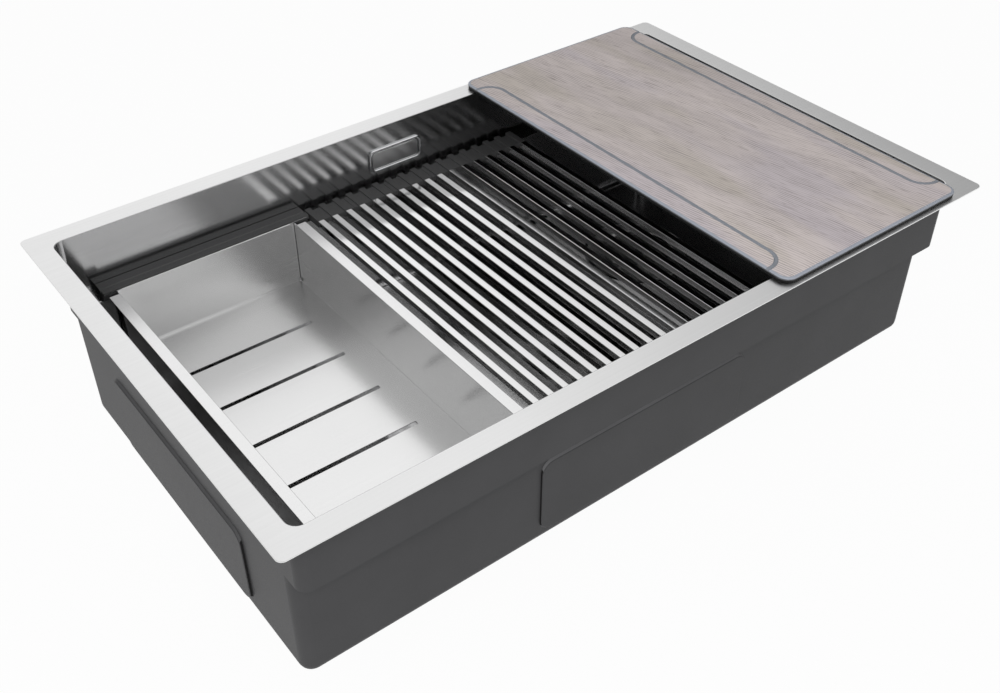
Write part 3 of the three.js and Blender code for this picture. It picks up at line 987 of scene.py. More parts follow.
@dataclass
class Bowl:
    """Folded bowl with its flange, ledges, waste recess, overflow port and pads."""

    palette: Palette
    flange: Pair = (390.0, 239.5)
    flange_corner: float = 6.0
    flange_edge: float = 0.35
    opening: Pair = (367.8, WALL)
    corner: float = 10.0
    lip: float = 1.0
    ledge: float = 202.5
    ledge_depth: float = 68.5
    ledge_thickness: float = 2.0
    bend: float = 10.0
    recess_inside: float = 61.5
    recess_outside: float = 61.2
    recess_depth: float = 3.0
    recess_steps: tuple[Pair, ...] = ((60.6, 0.3), (60.1, 1.0), (59.6, 2.4), (58.8, 3.0),
                                      (45.0, 3.0))
    hole: float = 45.0
    pad_corner: float = 12.0
    pad_flare: float = 2.0
    pad_edge: tuple[Pair, ...] = ((0.7, 0.0), (0.25, 0.25), (0.0, 0.8))
    steps: int = 10

    def ring(self, sheet: Sheet, half: Pair, radius: float, z: float) -> list:
        """Adds a rounded rectangle of vertices at one height and returns it."""
        return sheet.loop((x, y, z) for x, y in rounded_rectangle(half, radius, self.steps))

    def side(self, number: int) -> int:
        """Index of the straight segment after a corner: 0 back, 1 left, 2 front, 3 right."""
        return number * (self.steps + 1) + self.steps

    def ends(self, ring: Sequence, number: int) -> tuple:
        """The two vertices of a straight side."""
        first = self.side(number)
        return ring[first], ring[(first + 1) % len(ring)]

    def port_ring(self, sheet: Sheet, y: float) -> list:
        """Adds the overflow port's edge on one face of the back wall."""
        outline = rounded_rectangle(PORT_HALF, PORT_CORNER, 5)
        return sheet.loop((PORT[0] + x, y, below(PORT[1]) + z) for x, z in outline)

    def circle(self, sheet: Sheet, radius: float, z: float) -> list:
        """Adds a circle round the drain."""
        turn = arc(radius, 0, 360, 96)[:-1]
        return sheet.loop((DRAIN[0] + x, DRAIN[1] + y, z) for x, y in turn)

    def step(self, sheet: Sheet, wall: Sequence, wide: Sequence, narrow: Sequence,
             port: Sequence) -> None:
        """Joins an upper wall to the level step below it, on which the end walls have no width.

        Args:
            sheet: Faces so far.
            wall: Upper edge of the wall.
            wide: Lower edge of the wall, the outer edge of the step.
            narrow: Inner edge of the step, at the same height.
            port: Edge of the hole in the back wall.
        """
        sheet.bridge(wall, wide, skip=[self.side(n) for n in (0, 1, 3)])
        a, b = self.ends(wall, 0)
        c, d = self.ends(wide, 0)
        sheet.plate([a, b, d, c], [port])
        for number in (1, 3):
            a, b = self.ends(wall, number)
            c, d = self.ends(wide, number)
            e, f = self.ends(narrow, number)
            sheet.face((a, b, d, f, e, c))
        sheet.bridge(wide, narrow, skip=[self.side(n) for n in (1, 3)])

    def inside(self, sheet: Sheet, rim: Sequence) -> tuple:
        """Adds the faces from the flange's top down to the floor.

        Args:
            sheet: Faces so far.
            rim: Outer edge of the flange's top face.

        Returns:
            The edge of the waste hole and that of the overflow port.
        """
        (ox, oy), r, lip = self.opening, self.corner, self.lip
        sheet.slot = BowlFace.FLANGE
        ring = self.ring(sheet, (ox + lip, oy + lip), r + lip, SHEET)
        sheet.bridge(rim, ring)
        sheet.slot = BowlFace.INSIDE
        for out, drop in over_edge(lip):
            lower = self.ring(sheet, (ox + out, oy + out), r + out, SHEET - drop)
            sheet.bridge(ring, lower)
            ring = lower
        z = below(self.ledge_depth)
        wide = self.ring(sheet, (ox, oy), r, z)
        narrow = self.ring(sheet, (ox, self.ledge + lip), r + lip, z)
        port = self.port_ring(sheet, oy)
        self.step(sheet, ring, wide, narrow, port)
        ring = narrow
        for out, drop in over_edge(lip):
            lower = self.ring(sheet, (ox, self.ledge + out), r + lip, z - drop)
            sheet.bridge(ring, lower)
            ring = lower
        floor = below(FLOOR_DEPTH)
        ring = self.lower_wall(sheet, ring, (ox, self.ledge), r + lip, self.bend, floor)
        recess = [self.circle(sheet, self.recess_inside, floor)]
        sheet.plate(ring, [recess[0]])
        for radius, drop in self.recess_steps:
            recess.append(self.circle(sheet, radius, floor - drop))
            sheet.bridge(recess[-2], recess[-1])
        return recess[-1], port

    def lower_wall(self, sheet: Sheet, ring: Sequence, half: Pair, radius: float, bend: float,
                   floor: float) -> list:
        """Adds a lower wall and the bend into the floor.

        Args:
            sheet: Faces so far.
            ring: Upper edge of the wall.
            half: Half width and half depth of the wall.
            radius: Corner radius.
            bend: Radius of the bend.
            floor: Height of the floor.

        Returns:
            The edge of the flat floor.
        """
        for angle in range(0, 91, 15):
            out = bend * (1 - math.cos(math.radians(angle)))
            drop = bend * math.sin(math.radians(angle))
            lower = self.ring(sheet, (half[0] - out, half[1] - out), radius - out,
                              floor + bend - drop)
            sheet.bridge(ring, lower)
            ring = lower
        return ring

    def outside(self, sheet: Sheet, underside: Sequence) -> tuple:
        """Adds the outer faces from the flange's underside down to the floor's underside.

        Args:
            sheet: Faces so far.
            underside: Outer edge of the flange's underside.

        Returns:
            The edge of the waste hole and that of the overflow port.
        """
        (ox, oy), r = self.opening, self.corner + SHEET
        half, ledge = (ox + SHEET, oy + SHEET), (ox + SHEET, self.ledge + SHEET)
        sheet.slot = BowlFace.FLANGE
        ring = self.ring(sheet, half, r, 0.0)
        sheet.bridge(underside, ring)
        sheet.slot = BowlFace.OUTSIDE
        z = below(self.ledge_depth + self.ledge_thickness)
        fold = self.ring(sheet, half, r, z)
        narrow = self.ring(sheet, ledge, r + self.lip, z)
        port = self.port_ring(sheet, half[1])
        self.step(sheet, ring, fold, narrow, port)
        floor = below(FLOOR_DEPTH + SHEET)
        edge = self.lower_wall(sheet, narrow, ledge, r + self.lip, self.bend + SHEET, floor)
        top = self.circle(sheet, self.recess_outside, floor)
        sheet.plate(edge, [top])
        under = below(FLOOR_DEPTH + self.recess_depth + SHEET)
        bottom, hole = self.circle(sheet, self.recess_outside, under), self.circle(sheet, self.hole,
                                                                                   under)
        sheet.bridge(top, bottom)
        sheet.bridge(bottom, hole)
        return hole, port

    def shell(self) -> bpy.types.Object:
        """Builds the bowl's sheet and returns it."""
        sheet = Sheet()
        (fx, fy), corner, edge = self.flange, self.flange_corner, self.flange_edge
        rim = self.ring(sheet, (fx - edge, fy - edge), corner - edge, SHEET)
        sheet.slot = BowlFace.FLANGE
        ring = rim
        for out, z in ((edge * 0.3, SHEET - edge * 0.3), (0.0, SHEET - edge), (0.0, 0.15),
                       (0.15, 0.0)):
            lower = self.ring(sheet, (fx - out, fy - out), corner - out, z)
            sheet.bridge(ring, lower)
            ring = lower
        hole, port = self.inside(sheet, rim)
        far_hole, far_port = self.outside(sheet, ring)
        sheet.slot = BowlFace.INSIDE
        sheet.bridge(hole, far_hole)
        sheet.bridge(port, far_port)
        made = weigh_normals(sheet.make("bowl_shell_fine"))
        finishes = [self.palette.bowl, self.palette.flange, self.palette.coating]
        return dress(made, finishes, "bowl", ["bowl_shell"])

    def pad(self, name: str) -> None:
        """Builds one sound-deadening pad from the box of its node.

        Args:
            name: The wall that it is glued to, or the floor.
        """
        low, high = (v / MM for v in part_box("damping_pad_" + name))
        size, centre = high - low, (low + high) / 2
        thin = min(range(3), key=lambda i: size[i])
        across, up = (i for i in range(3) if i != thin)
        outline = rounded_rectangle((size[across] / 2, size[up] / 2), self.pad_corner)
        outward = -1 if name in ("front", "left", "floor") else 1
        flare = 0.0 if name == "floor" else self.pad_flare
        levels = [(-outward * size[thin] / 2, 0.0, -flare)]
        levels += [(outward * (size[thin] / 2 - depth), inset, inset) for depth,
                   inset in self.pad_edge]
        sheet, rings = Sheet(), []
        for offset, inset, inset_up in levels:
            points = []
            for u, v in outline:
                place = centre.copy()
                place[thin] += offset
                place[across] += u * (1 - 2 * inset / size[across])
                place[up] += v * (1 - 2 * inset_up / size[up])
                points.append(tuple(place))
            rings.append(sheet.loop(points))
        sheet.slot = PadFace.EDGE
        sheet.bridge(rings[0], rings[1])
        sheet.face(rings[0])
        sheet.slot = PadFace.FLAT
        sheet.bridge(rings[1], rings[2])
        sheet.bridge(rings[2], rings[3])
        sheet.face(rings[3])
        made = weigh_normals(sheet.make(f"damping_pad_{name}_fine", sharp=50))
        # Upward-facing parts of the sides take a paler copy of the coating, painted light;
        # sideways-facing sides stay near black.
        for part in made.data.polygons:
            if abs(part.normal.z) > 0.4:
                part.material_index = PadFace.SLOPE if part.material_index else PadFace.FLAT
        under_ledge = name in ("front", "back")
        slope = self.palette.ledge_slope_painted_light if under_ledge else self.palette.end_slope_painted_light
        finishes = [self.palette.coating, self.palette.pad_edge, slope]
        dress(made, finishes, "bowl", ["damping_pad_" + name])

    def build(self) -> None:
        """Builds the whole sub-assembly."""
        self.shell()
        for name in ("front", "back", "left", "right", "floor"):
            self.pad(name)


@dataclass
class Overflow:
    """Chrome rim and recessed cover in the back wall, and the chamber behind it."""

    palette: Palette
    half: Pair = (33.5, 13.5)
    corner: float = 6.0
    rim: float = 3.2
    cover_corner: float = 3.5
    tongue: float = 19.0
    box_half: Pair = (37.5, 17.5)
    box_corner: float = 9.0
    box_back: float = 2.0
    bore: float = 5.5

    def ring(self, sheet: Sheet, inset: float, y: float, radius: float) -> list:
        """Adds a rounded rectangle that stands in the wall's plane.

        Args:
            sheet: Faces so far.
            inset: Distance in from the rim's outer edge.
            y: Place of its plane.
            radius: Corner radius.

        Returns:
            Its vertices.
        """
        half = (self.half[0] - inset, self.half[1] - inset)
        outline = rounded_rectangle(half, radius, 6)
        return sheet.loop((PORT[0] + x, y, below(PORT[1]) + z) for x, z in outline)

    def bezel(self) -> None:
        """Builds the rounded chrome rim."""
        back = WALL - 0.1
        section = [(0.0, back), (0.0, back - 1.3), (0.3, back - 2.0), (0.9, back - 2.4),
                   (2.2, back - 2.4),
                   (2.9, back - 2.0), (self.rim, back - 1.3), (self.rim, back)]
        sheet = Sheet()
        rings = [self.ring(sheet, inset, y, max(self.corner - inset * 0.5, 1)) for inset,
                 y in section]
        for a, b in zip(rings, rings[1:] + rings[:1]):
            sheet.bridge(a, b)
        made = weigh_normals(sheet.make("overflow_bezel_fine", sharp=60))
        dress(made, [self.palette.chrome], "bowl", ["overflow_bezel"])

    def cover(self) -> None:
        """Builds the smooth recessed cover with its two tongues."""
        front = WALL - 1.4
        sheet = Sheet()
        rings = [self.ring(sheet, inset, y, self.cover_corner) for inset, y in (
            (4.4, front + 1.0), (4.4, front + 0.4), (4.6, front + 0.1), (5.0, front))]
        for a, b in zip(rings, rings[1:]):
            sheet.bridge(a, b)
        sheet.face(rings[0])
        sheet.face(rings[-1])
        z = below(PORT[1])
        made = sheet.make("overflow_cover_fine", sharp=60)
        tongues = Sheet()
        for x in (PORT[0] - self.tongue, PORT[0] + self.tongue):
            tongues.block((x - 2, front + 0.5, z - 3), (x + 2, WALL + 3, z + 3))
        carve(made, tongues.make("tongues"), Carving.ADD)
        dress(weigh_normals(made), [self.palette.plate], "bowl", ["overflow_cover"])

    def housing(self) -> None:
        """Builds the moulded chamber with its hose spigot."""
        low, high = (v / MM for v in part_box("overflow_housing"))
        front, back = low.y, high.y
        x, z = PORT[0], below(PORT[1])
        shell = Sheet()
        outline = rounded_rectangle(self.box_half, self.box_corner)
        shell.prism([(x + a, z + b) for a, b in outline], front, back, Axis.Y)
        made = shell.make("overflow_housing_fine")
        y = (front + back) / 2
        spigot = Sheet()
        top, end = z - 16.5, low.z
        ridges = [(0, top), (6.6, top), (7.8, top - 3), (7.8, end + 13), (7.2, end + 11),
                  (7.8, end + 8), (7.2, end + 6), (7.8, end + 3), (7.0, end), (0, end)]
        spigot.lathe(ridges, (x, y), 48)
        carve(made, spigot.make("spigot"), Carving.ADD)
        soften(made, 1.2, 3, 60)
        tools = Sheet()
        outline = rounded_rectangle(PORT_HALF, PORT_CORNER, 5)
        tools.prism([(x + a, z + b) for a, b in outline], front - 5, back - self.box_back, Axis.Y)
        carve(made, tools.make("chamber"))
        bore = Sheet()
        bore.lathe([(0, z - 2), (self.bore, z - 2), (self.bore, end - 5), (0, end - 5)], (x, y), 48)
        carve(made, bore.make("bore"))
        shade(made, 40)
        dress(weigh_normals(made), [self.palette.plastic], "bowl",
              ["overflow_housing"])

    def build(self) -> None:
        """Builds the whole sub-assembly."""
        self.bezel()
        self.cover()
        self.housing()


@dataclass
class Strainer:
    """Basket strainer in the floor, with its nut below and its lift-out basket."""

    palette: Palette
    floor: float = below(FLOOR_DEPTH)
    cup_depth: float = 54.0
    outlet_depth: float = 88.0
    seal: float = 1.5
    bar_half: Pair = (23.5, 1.5)
    inlet_depth: float = 35.0
    basket_depth: float = 45.0
    basket_drop: float = 2.0
    holes: int = 12
    hole: float = 2.6
    lugs: int = 6

    def body(self) -> None:
        """Builds the turned body with its cross bars, neck and overflow inlet."""
        top, deep = self.floor, self.floor - self.cup_depth
        outlet, seal = self.floor - self.outlet_depth, self.floor - self.seal
        section = [(43, seal + 0.3), (56.5, seal + 0.3), (57.5, seal + 1), (57.3, top + 0.2),
                   (56.6, top + 0.6),
                   (55.5, top + 0.6), (46, top), (44, top - 0.5), (42.2, top - 1.6),
                   (41.5, top - 3),
                   (40.5, deep + 4), (39.6, deep + 2.2), (37.5, deep + 1.5), (22, deep + 1.5),
                   (22, outlet),
                   (24.5, outlet), (24.5, deep - 2), (39, deep - 0.75), (41.8, deep + 0.6),
                   (43, deep + 4)]
        sheet = Sheet()
        sheet.lathe(section, DRAIN)
        made = sheet.make("strainer_body_fine")
        cx, cy = DRAIN
        for hx, hy in (self.bar_half, self.bar_half[::-1]):
            bar = Sheet()
            bar.block((cx - hx, cy - hy, deep - 3), (cx + hx, cy + hy, deep))
            carve(made, bar.make("bar"), Carving.ADD)
        for radius, start, stop, carving in ((10, 41, 63, Carving.ADD),
                                             (7, 36, 70, Carving.REMOVE)):
            tool = Sheet()
            turn = arc(radius, 0, 360, 48)[:-1]
            outline = [(cx + a, top - self.inlet_depth + b) for a, b in turn]
            tool.prism(outline, cy + start, cy + stop, Axis.Y)
            carve(made, tool.make("inlet"), carving)
        shade(made)
        dress(weigh_normals(made), [self.palette.turned], "bowl",
              ["strainer_body"])

    def basket(self) -> None:
        """Builds the basket and perforates it with a geometry node tree."""
        bottom, rim = self.floor - self.basket_depth, self.floor - self.basket_drop
        section = [(2.8, bottom), (32, bottom), (33.2, bottom + 0.6), (34.5, bottom + 2),
                   (39, rim - 1.5),
                   (40, rim - 1.2), (40, rim - 0.2), (39.6, rim), (38.2, rim), (37.8, rim - 0.4),
                   (33.5, bottom + 2.5), (32, bottom + 1), (2.8, bottom + 1)]
        sheet = Sheet()
        sheet.lathe(section, DRAIN, 72)
        rule = Recipe("perforations")
        count = rule.size("Count", NodeSize.COUNT, self.holes)
        radius = rule.size("Hole radius", NodeSize.LENGTH, self.hole * MM)
        hole = rule.node("MeshCylinder", {"Vertices": 16, "Radius": radius, "Depth": 12 * MM})
        tools = []
        for reach, height, upright in ((25, bottom, True), (15, bottom, True),
                                       (35, bottom + 12, False), (37, bottom + 24, False)):
            ring = rule.node("MeshCircle", {"Vertices": count, "Radius": reach * MM})
            middle = metres(*DRAIN, height)
            moved = rule.node("Transform", {"Geometry": ring.outputs[0], "Translation": middle})
            place = rule.node("InputPosition")
            out = rule.node("ShaderNodeVectorMath", {0: place.outputs[0], 1: middle},
                            operation="SUBTRACT")
            aim = rule.node("FunctionNodeAlignRotationToVector",
                            {"Vector": (0, 0, 1) if upright else out.outputs[0]}, axis="Z")
            tools.append(rule.node("InstanceOnPoints", {
                "Points": moved.outputs[0], "Instance": hole.outputs[0],
                "Rotation": aim.outputs[0]}).outputs[0])
        joined = rule.node("JoinGeometry", {"Geometry": tools})
        real = rule.node("RealizeInstances", {"Geometry": joined.outputs[0]})
        cut = rule.node("MeshBoolean",
                        {"Mesh 1": rule.entry.outputs["Geometry"], "Mesh 2": real.outputs[0]},
                        operation="DIFFERENCE", solver="EXACT")
        made = rule.make("basket_fine", cut.outputs[0], self.palette.turned, sheet.make("basket"),
                         30)
        dress(made, [], "strainer_basket", ["basket"])

    def knob(self) -> None:
        """Builds the basket's turned knob."""
        deep, top = self.floor - self.cup_depth, self.floor
        section = [(0, deep + 0.6), (2.1, deep + 0.6), (2.5, deep + 1), (2.5, top - 10.5),
                   (3.2, top - 9.6),
                   (6.8, top - 8), (9.2, top - 6.4), (10, top - 5), (10, top - 2.4),
                   (9.6, top - 1.2),
                   (8.4, top - 0.3), (7.2, top), (0, top)]
        sheet = Sheet()
        sheet.lathe(section, DRAIN, 72)
        made = weigh_normals(sheet.make("basket_knob_fine", sharp=40))
        dress(made, [self.palette.chrome], "strainer_basket", ["basket_knob"])

    def locknut(self) -> None:
        """Builds the plastic nut with its lugs set round it by a geometry node tree."""
        low, high = (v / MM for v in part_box("strainer_locknut"))
        ring = Sheet()
        section = [(43.3, low.z), (53, low.z), (54, low.z + 1), (54, high.z - 1), (53, high.z),
                   (43.3, high.z)]
        ring.lathe(section, DRAIN)
        lug = Sheet()
        lug.block((49, -5, low.z), (56.9, 5, high.z))
        lug_made = soften(lug.make("lug"), 0.8, 2)
        rule = Recipe("lugs")
        count = rule.size("Count", NodeSize.COUNT, self.lugs)
        shape = rule.size("Lug", NodeSize.SHAPE, lug_made)
        taken = rule.node("ObjectInfo", {"Object": shape})
        points = rule.node("MeshLine", {"Count": count, "Start Location": metres(*DRAIN, 0),
                                        "Offset": (0, 0, 0)})
        index = rule.node("InputIndex")
        share = rule.node("ShaderNodeMath", {0: 2 * math.pi, 1: count}, operation="DIVIDE")
        angle = rule.node("ShaderNodeMath", {0: index.outputs[0], 1: share.outputs[0]},
                          operation="MULTIPLY")
        turn = rule.node("ShaderNodeCombineXYZ", {"Z": angle.outputs[0]})
        lugs = rule.node("InstanceOnPoints",
                         {"Points": points.outputs[0], "Instance": taken.outputs["Geometry"],
                                              "Rotation": turn.outputs[0]})
        real = rule.node("RealizeInstances", {"Geometry": lugs.outputs[0]})
        whole = rule.node("MeshBoolean",
                          {"Mesh 2": [rule.entry.outputs["Geometry"], real.outputs[0]]},
                          operation="UNION", solver="EXACT")
        made = rule.make("strainer_locknut_fine", whole.outputs[0], self.palette.plastic,
                         ring.make("nut"))
        bpy.data.objects.remove(lug_made)
        dress(made, [], "bowl", ["strainer_locknut"])

    def build(self) -> None:
        """Builds the whole sub-assembly."""
        self.body()
        self.basket()
        self.knob()
        self.locknut()


@dataclass
class Colander:
    """Tray folded from one sheet, and the silicone edging of its end lips."""

    palette: Palette
    left: float = -326.0
    right: float = -136.0
    reach: float = 194.5
    rim: float = below(58.0)
    floor: float = below(130.0)
    sheet: float = 1.0
    seam: float = 1.2
    relief: float = 2.6
    bend: float = 0.4
    roll: float = 0.6
    lip: Pair = (189.0, 10.7)
    end_lip: tuple[float, float, float] = (-338.3, -118.0, 202.0)
    slot: Pair = (67.0, 2.4)
    slot_corner: float = 0.6
    pitch: float = 62.7
    slots: int = 5
    edging: Pair = (-339.3, -117.0)
    edging_lip: float = 203.2

    @property
    def middle(self) -> float:
        """Middle of the tray along X."""
        return (self.left + self.right) / 2

    def slot_ring(self, faces: Sheet, y: float) -> list:
        """Adds the edge of one long slot in the floor."""
        outline = rounded_rectangle(self.slot, self.slot_corner, 3)
        return faces.loop((self.middle + x, y + v, self.floor) for x, v in outline)

    def tray(self) -> None:
        """Builds the tray from its flat faces and bends, then gives it the sheet's thickness."""
        faces = Sheet()
        half = (self.right - self.left) / 2
        near, far = self.bend, self.relief
        outline = []
        for sx, sy in ((1, 1), (-1, 1), (-1, -1), (1, -1)):
            corner = [(near, far), (far * 0.72, far * 0.72), (far, near)]
            turn = corner if sx == sy else corner[::-1]
            outline += [(self.middle + sx * (half - a), sy * (self.reach - b), self.floor) for a,
                        b in turn]
        holes = [self.slot_ring(faces,
                                (i - (self.slots - 1) / 2) * self.pitch) for i in range(self.slots)]
        faces.plate(faces.loop(outline), holes)
        reach, out = self.lip
        for side in (1, -1):
            x = self.right if side > 0 else self.left
            self.wall(faces, lambda u, v, z, x=x, side=side: (x + side * v, u, z), self.reach,
                      self.reach - self.seam,
                      [(reach, self.roll), (reach, out), (-reach, out), (-reach, self.roll)])
            start, stop, end = self.end_lip
            start, stop = start - self.middle, stop - self.middle
            edge = [(half - 4, self.roll), (half - 4, 2), (stop, 2), (stop, end - self.reach),
                    (start, end - self.reach), (start, 2), (4 - half, 2), (4 - half, self.roll)]
            self.wall(faces, lambda u, v, z,
                      side=side: (self.middle + u, side * (self.reach + v), z), half,
                      half + self.sheet, edge)
        bmesh.ops.remove_doubles(faces.bm, verts=faces.bm.verts, dist=1e-4)
        made = faces.make("colander_tray_fine", solid=False)
        self.face_up(made)
        change = made.modifiers.new("sheet", "SOLIDIFY")
        change.thickness = self.sheet * MM
        change.offset = -1
        change.use_even_offset = True
        change.material_offset_rim = TrayFace.CUT
        settle(made)
        soften(made, 0.22, 2)
        self.paint_shade(made)
        finishes = [self.palette.tray, self.palette.cut, self.palette.tray_outside_painted_shade]
        dress(made, finishes, "colander", ["colander_tray"])

    def paint_shade(self, made: bpy.types.Object) -> None:
        """Paints shade: slots' walls and corner seams get a near-black painted shade, and the
        walls' outward faces a darker copy of the steel, also painted shade.

        Args:
            made: The tray, whose sheet edges have the second slot.
        """
        bm = bmesh.new()
        bm.from_mesh(made.data)
        for x in (self.left - 0.05, self.right + 0.05):
            everything = bm.verts[:] + bm.edges[:] + bm.faces[:]
            bmesh.ops.bisect_plane(bm, geom=everything, plane_co=(x * MM, 0, 0), plane_no=(1, 0, 0))
        for part in bm.faces:
            x, y, z = (v / MM for v in part.calc_center_median())
            outside = x < self.left or x > self.right
            seam = outside and abs(y) > self.reach - 4 and z < self.rim - self.roll
            slot = abs(z - self.floor) < 1.2 and abs(x - self.middle) < self.slot[0] + 1
            outward = part.normal.x * (x - self.middle) > 0 and abs(part.normal.x) > 0.9 or (
                part.normal.y * y > 0 and abs(part.normal.y) > 0.9)
            # Outward faces of the walls take the darker copy of the steel: painted shade.
            wall = self.floor < z < self.rim - self.roll and outward
            # Slot walls and corner seams take the near-black painted shade.
            if seam or slot and part.material_index:
                part.material_index = TrayFace.CUT
            else:
                part.material_index = TrayFace.OUTSIDE if wall else TrayFace.INSIDE
        bm.to_mesh(made.data)
        bm.free()

    def wall(self, faces: Sheet, place: Callable[[float, float, float], Point], half: float,
             end: float,
             edge: Sequence[Pair]) -> None:
        """Adds one wall with its bend out of the floor, its bend into the lip, and the lip.

        Args:
            faces: Faces so far.
            place: Turns a place along the wall, a distance out from it and a height into a point.
            half: Half the distance between the two corners.
            end: Half the wall's own length above the relief holes.
            edge: Outline of the lip as (along, out), from the bend's one end to its other.
        """
        turns = [math.radians(22.5 * i) for i in range(5)]
        rows = []
        for a in turns:
            up = self.bend * (1 - math.cos(a))
            foot = half - math.sqrt(self.relief ** 2 - up ** 2)
            rows.append([(foot, self.bend * (math.sin(a) - 1), self.floor + up)])
        top = self.rim - self.roll
        lip = edge[0][0]
        climb = [rows[-1][0]]
        for share in (0.4, 0.7, 0.9, 1.0):
            up = self.bend + (self.relief - self.bend) * share
            foot = half - math.sqrt(max(self.relief ** 2 - up ** 2, 0))
            if foot < end:
                climb.append((foot, 0.0, self.floor + up))
        climb += [(end, 0.0, self.floor + self.relief + 0.3), (end, 0.0, self.rim),
                  (lip, 0.0, self.rim)]
        rolled = [[(lip, self.roll * (1 - math.cos(a)),
                    top + self.roll * math.sin(a))] for a in turns]
        climb.append(rolled[0][0])
        for strip in (rows, rolled):
            pairs = [faces.loop((place(-u, v, z), place(u, v, z))) for ((u, v, z),) in strip]
            for a, b in zip(pairs, pairs[1:]):
                faces.bridge(a, b, closed=False)
        outline = climb + [(-u, v, z) for u, v, z in climb[::-1]]
        faces.face(faces.loop(place(*p) for p in outline))
        faces.face(faces.loop(place(u, v, self.rim) for u, v in edge))

    @staticmethod
    def face_up(made: bpy.types.Object) -> None:
        """Turns the open sheet so that its faces look into the tray and upwards."""
        bm = bmesh.new()
        bm.from_mesh(made.data)
        bmesh.ops.recalc_face_normals(bm, faces=bm.faces)
        level = [f for f in bm.faces if abs(f.normal.z) > 0.9]
        if sum(f.normal.z * f.calc_area() for f in level) < 0:
            bmesh.ops.reverse_faces(bm, faces=bm.faces)
        bm.to_mesh(made.data)
        bm.free()

    def strips(self) -> None:
        """Builds the silicone edging of both end lips: a slit lip, a groove and a strip."""
        section = [(196.2, 57), (203.2, 57), (203.2, 61.8), (207, 57.85), (217.5, 57.85),
                   (217.5, 68.3),
                   (200.2, 68.3), (200.2, 61), (196.2, 61), (196.2, 59.15), (202.3, 59.15),
                   (202.3, 57.85),
                   (196.2, 57.85)]
        line = bent(section, {0: 0.25, 1: 0.5, 3: 0.6, 4: 0.6, 5: 0.4, 6: 0.4}, 3)
        for name, side in (("back", 1), ("front", -1)):
            strip = Sheet()
            strip.prism([(side * y, below(depth)) for y, depth in line], *self.edging)
            made = weigh_normals(strip.make(f"colander_edging_{name}_fine", sharp=50))
            for part in made.data.polygons:
                off_lip = abs(part.center.y * side / MM - self.edging_lip)
                behind_lip = part.normal.y * side > 0.9 and off_lip < 0.2
                if behind_lip or abs(part.normal.x) > 0.9:
                    part.material_index = EdgingFace.SHADED
            finishes = [self.palette.silicone, self.palette.shaded_silicone]
            dress(made, finishes, "colander", ["colander_edging_" + name])

    def build(self) -> None:
        """Builds the whole sub-assembly."""
        self.tray()
        self.strips()


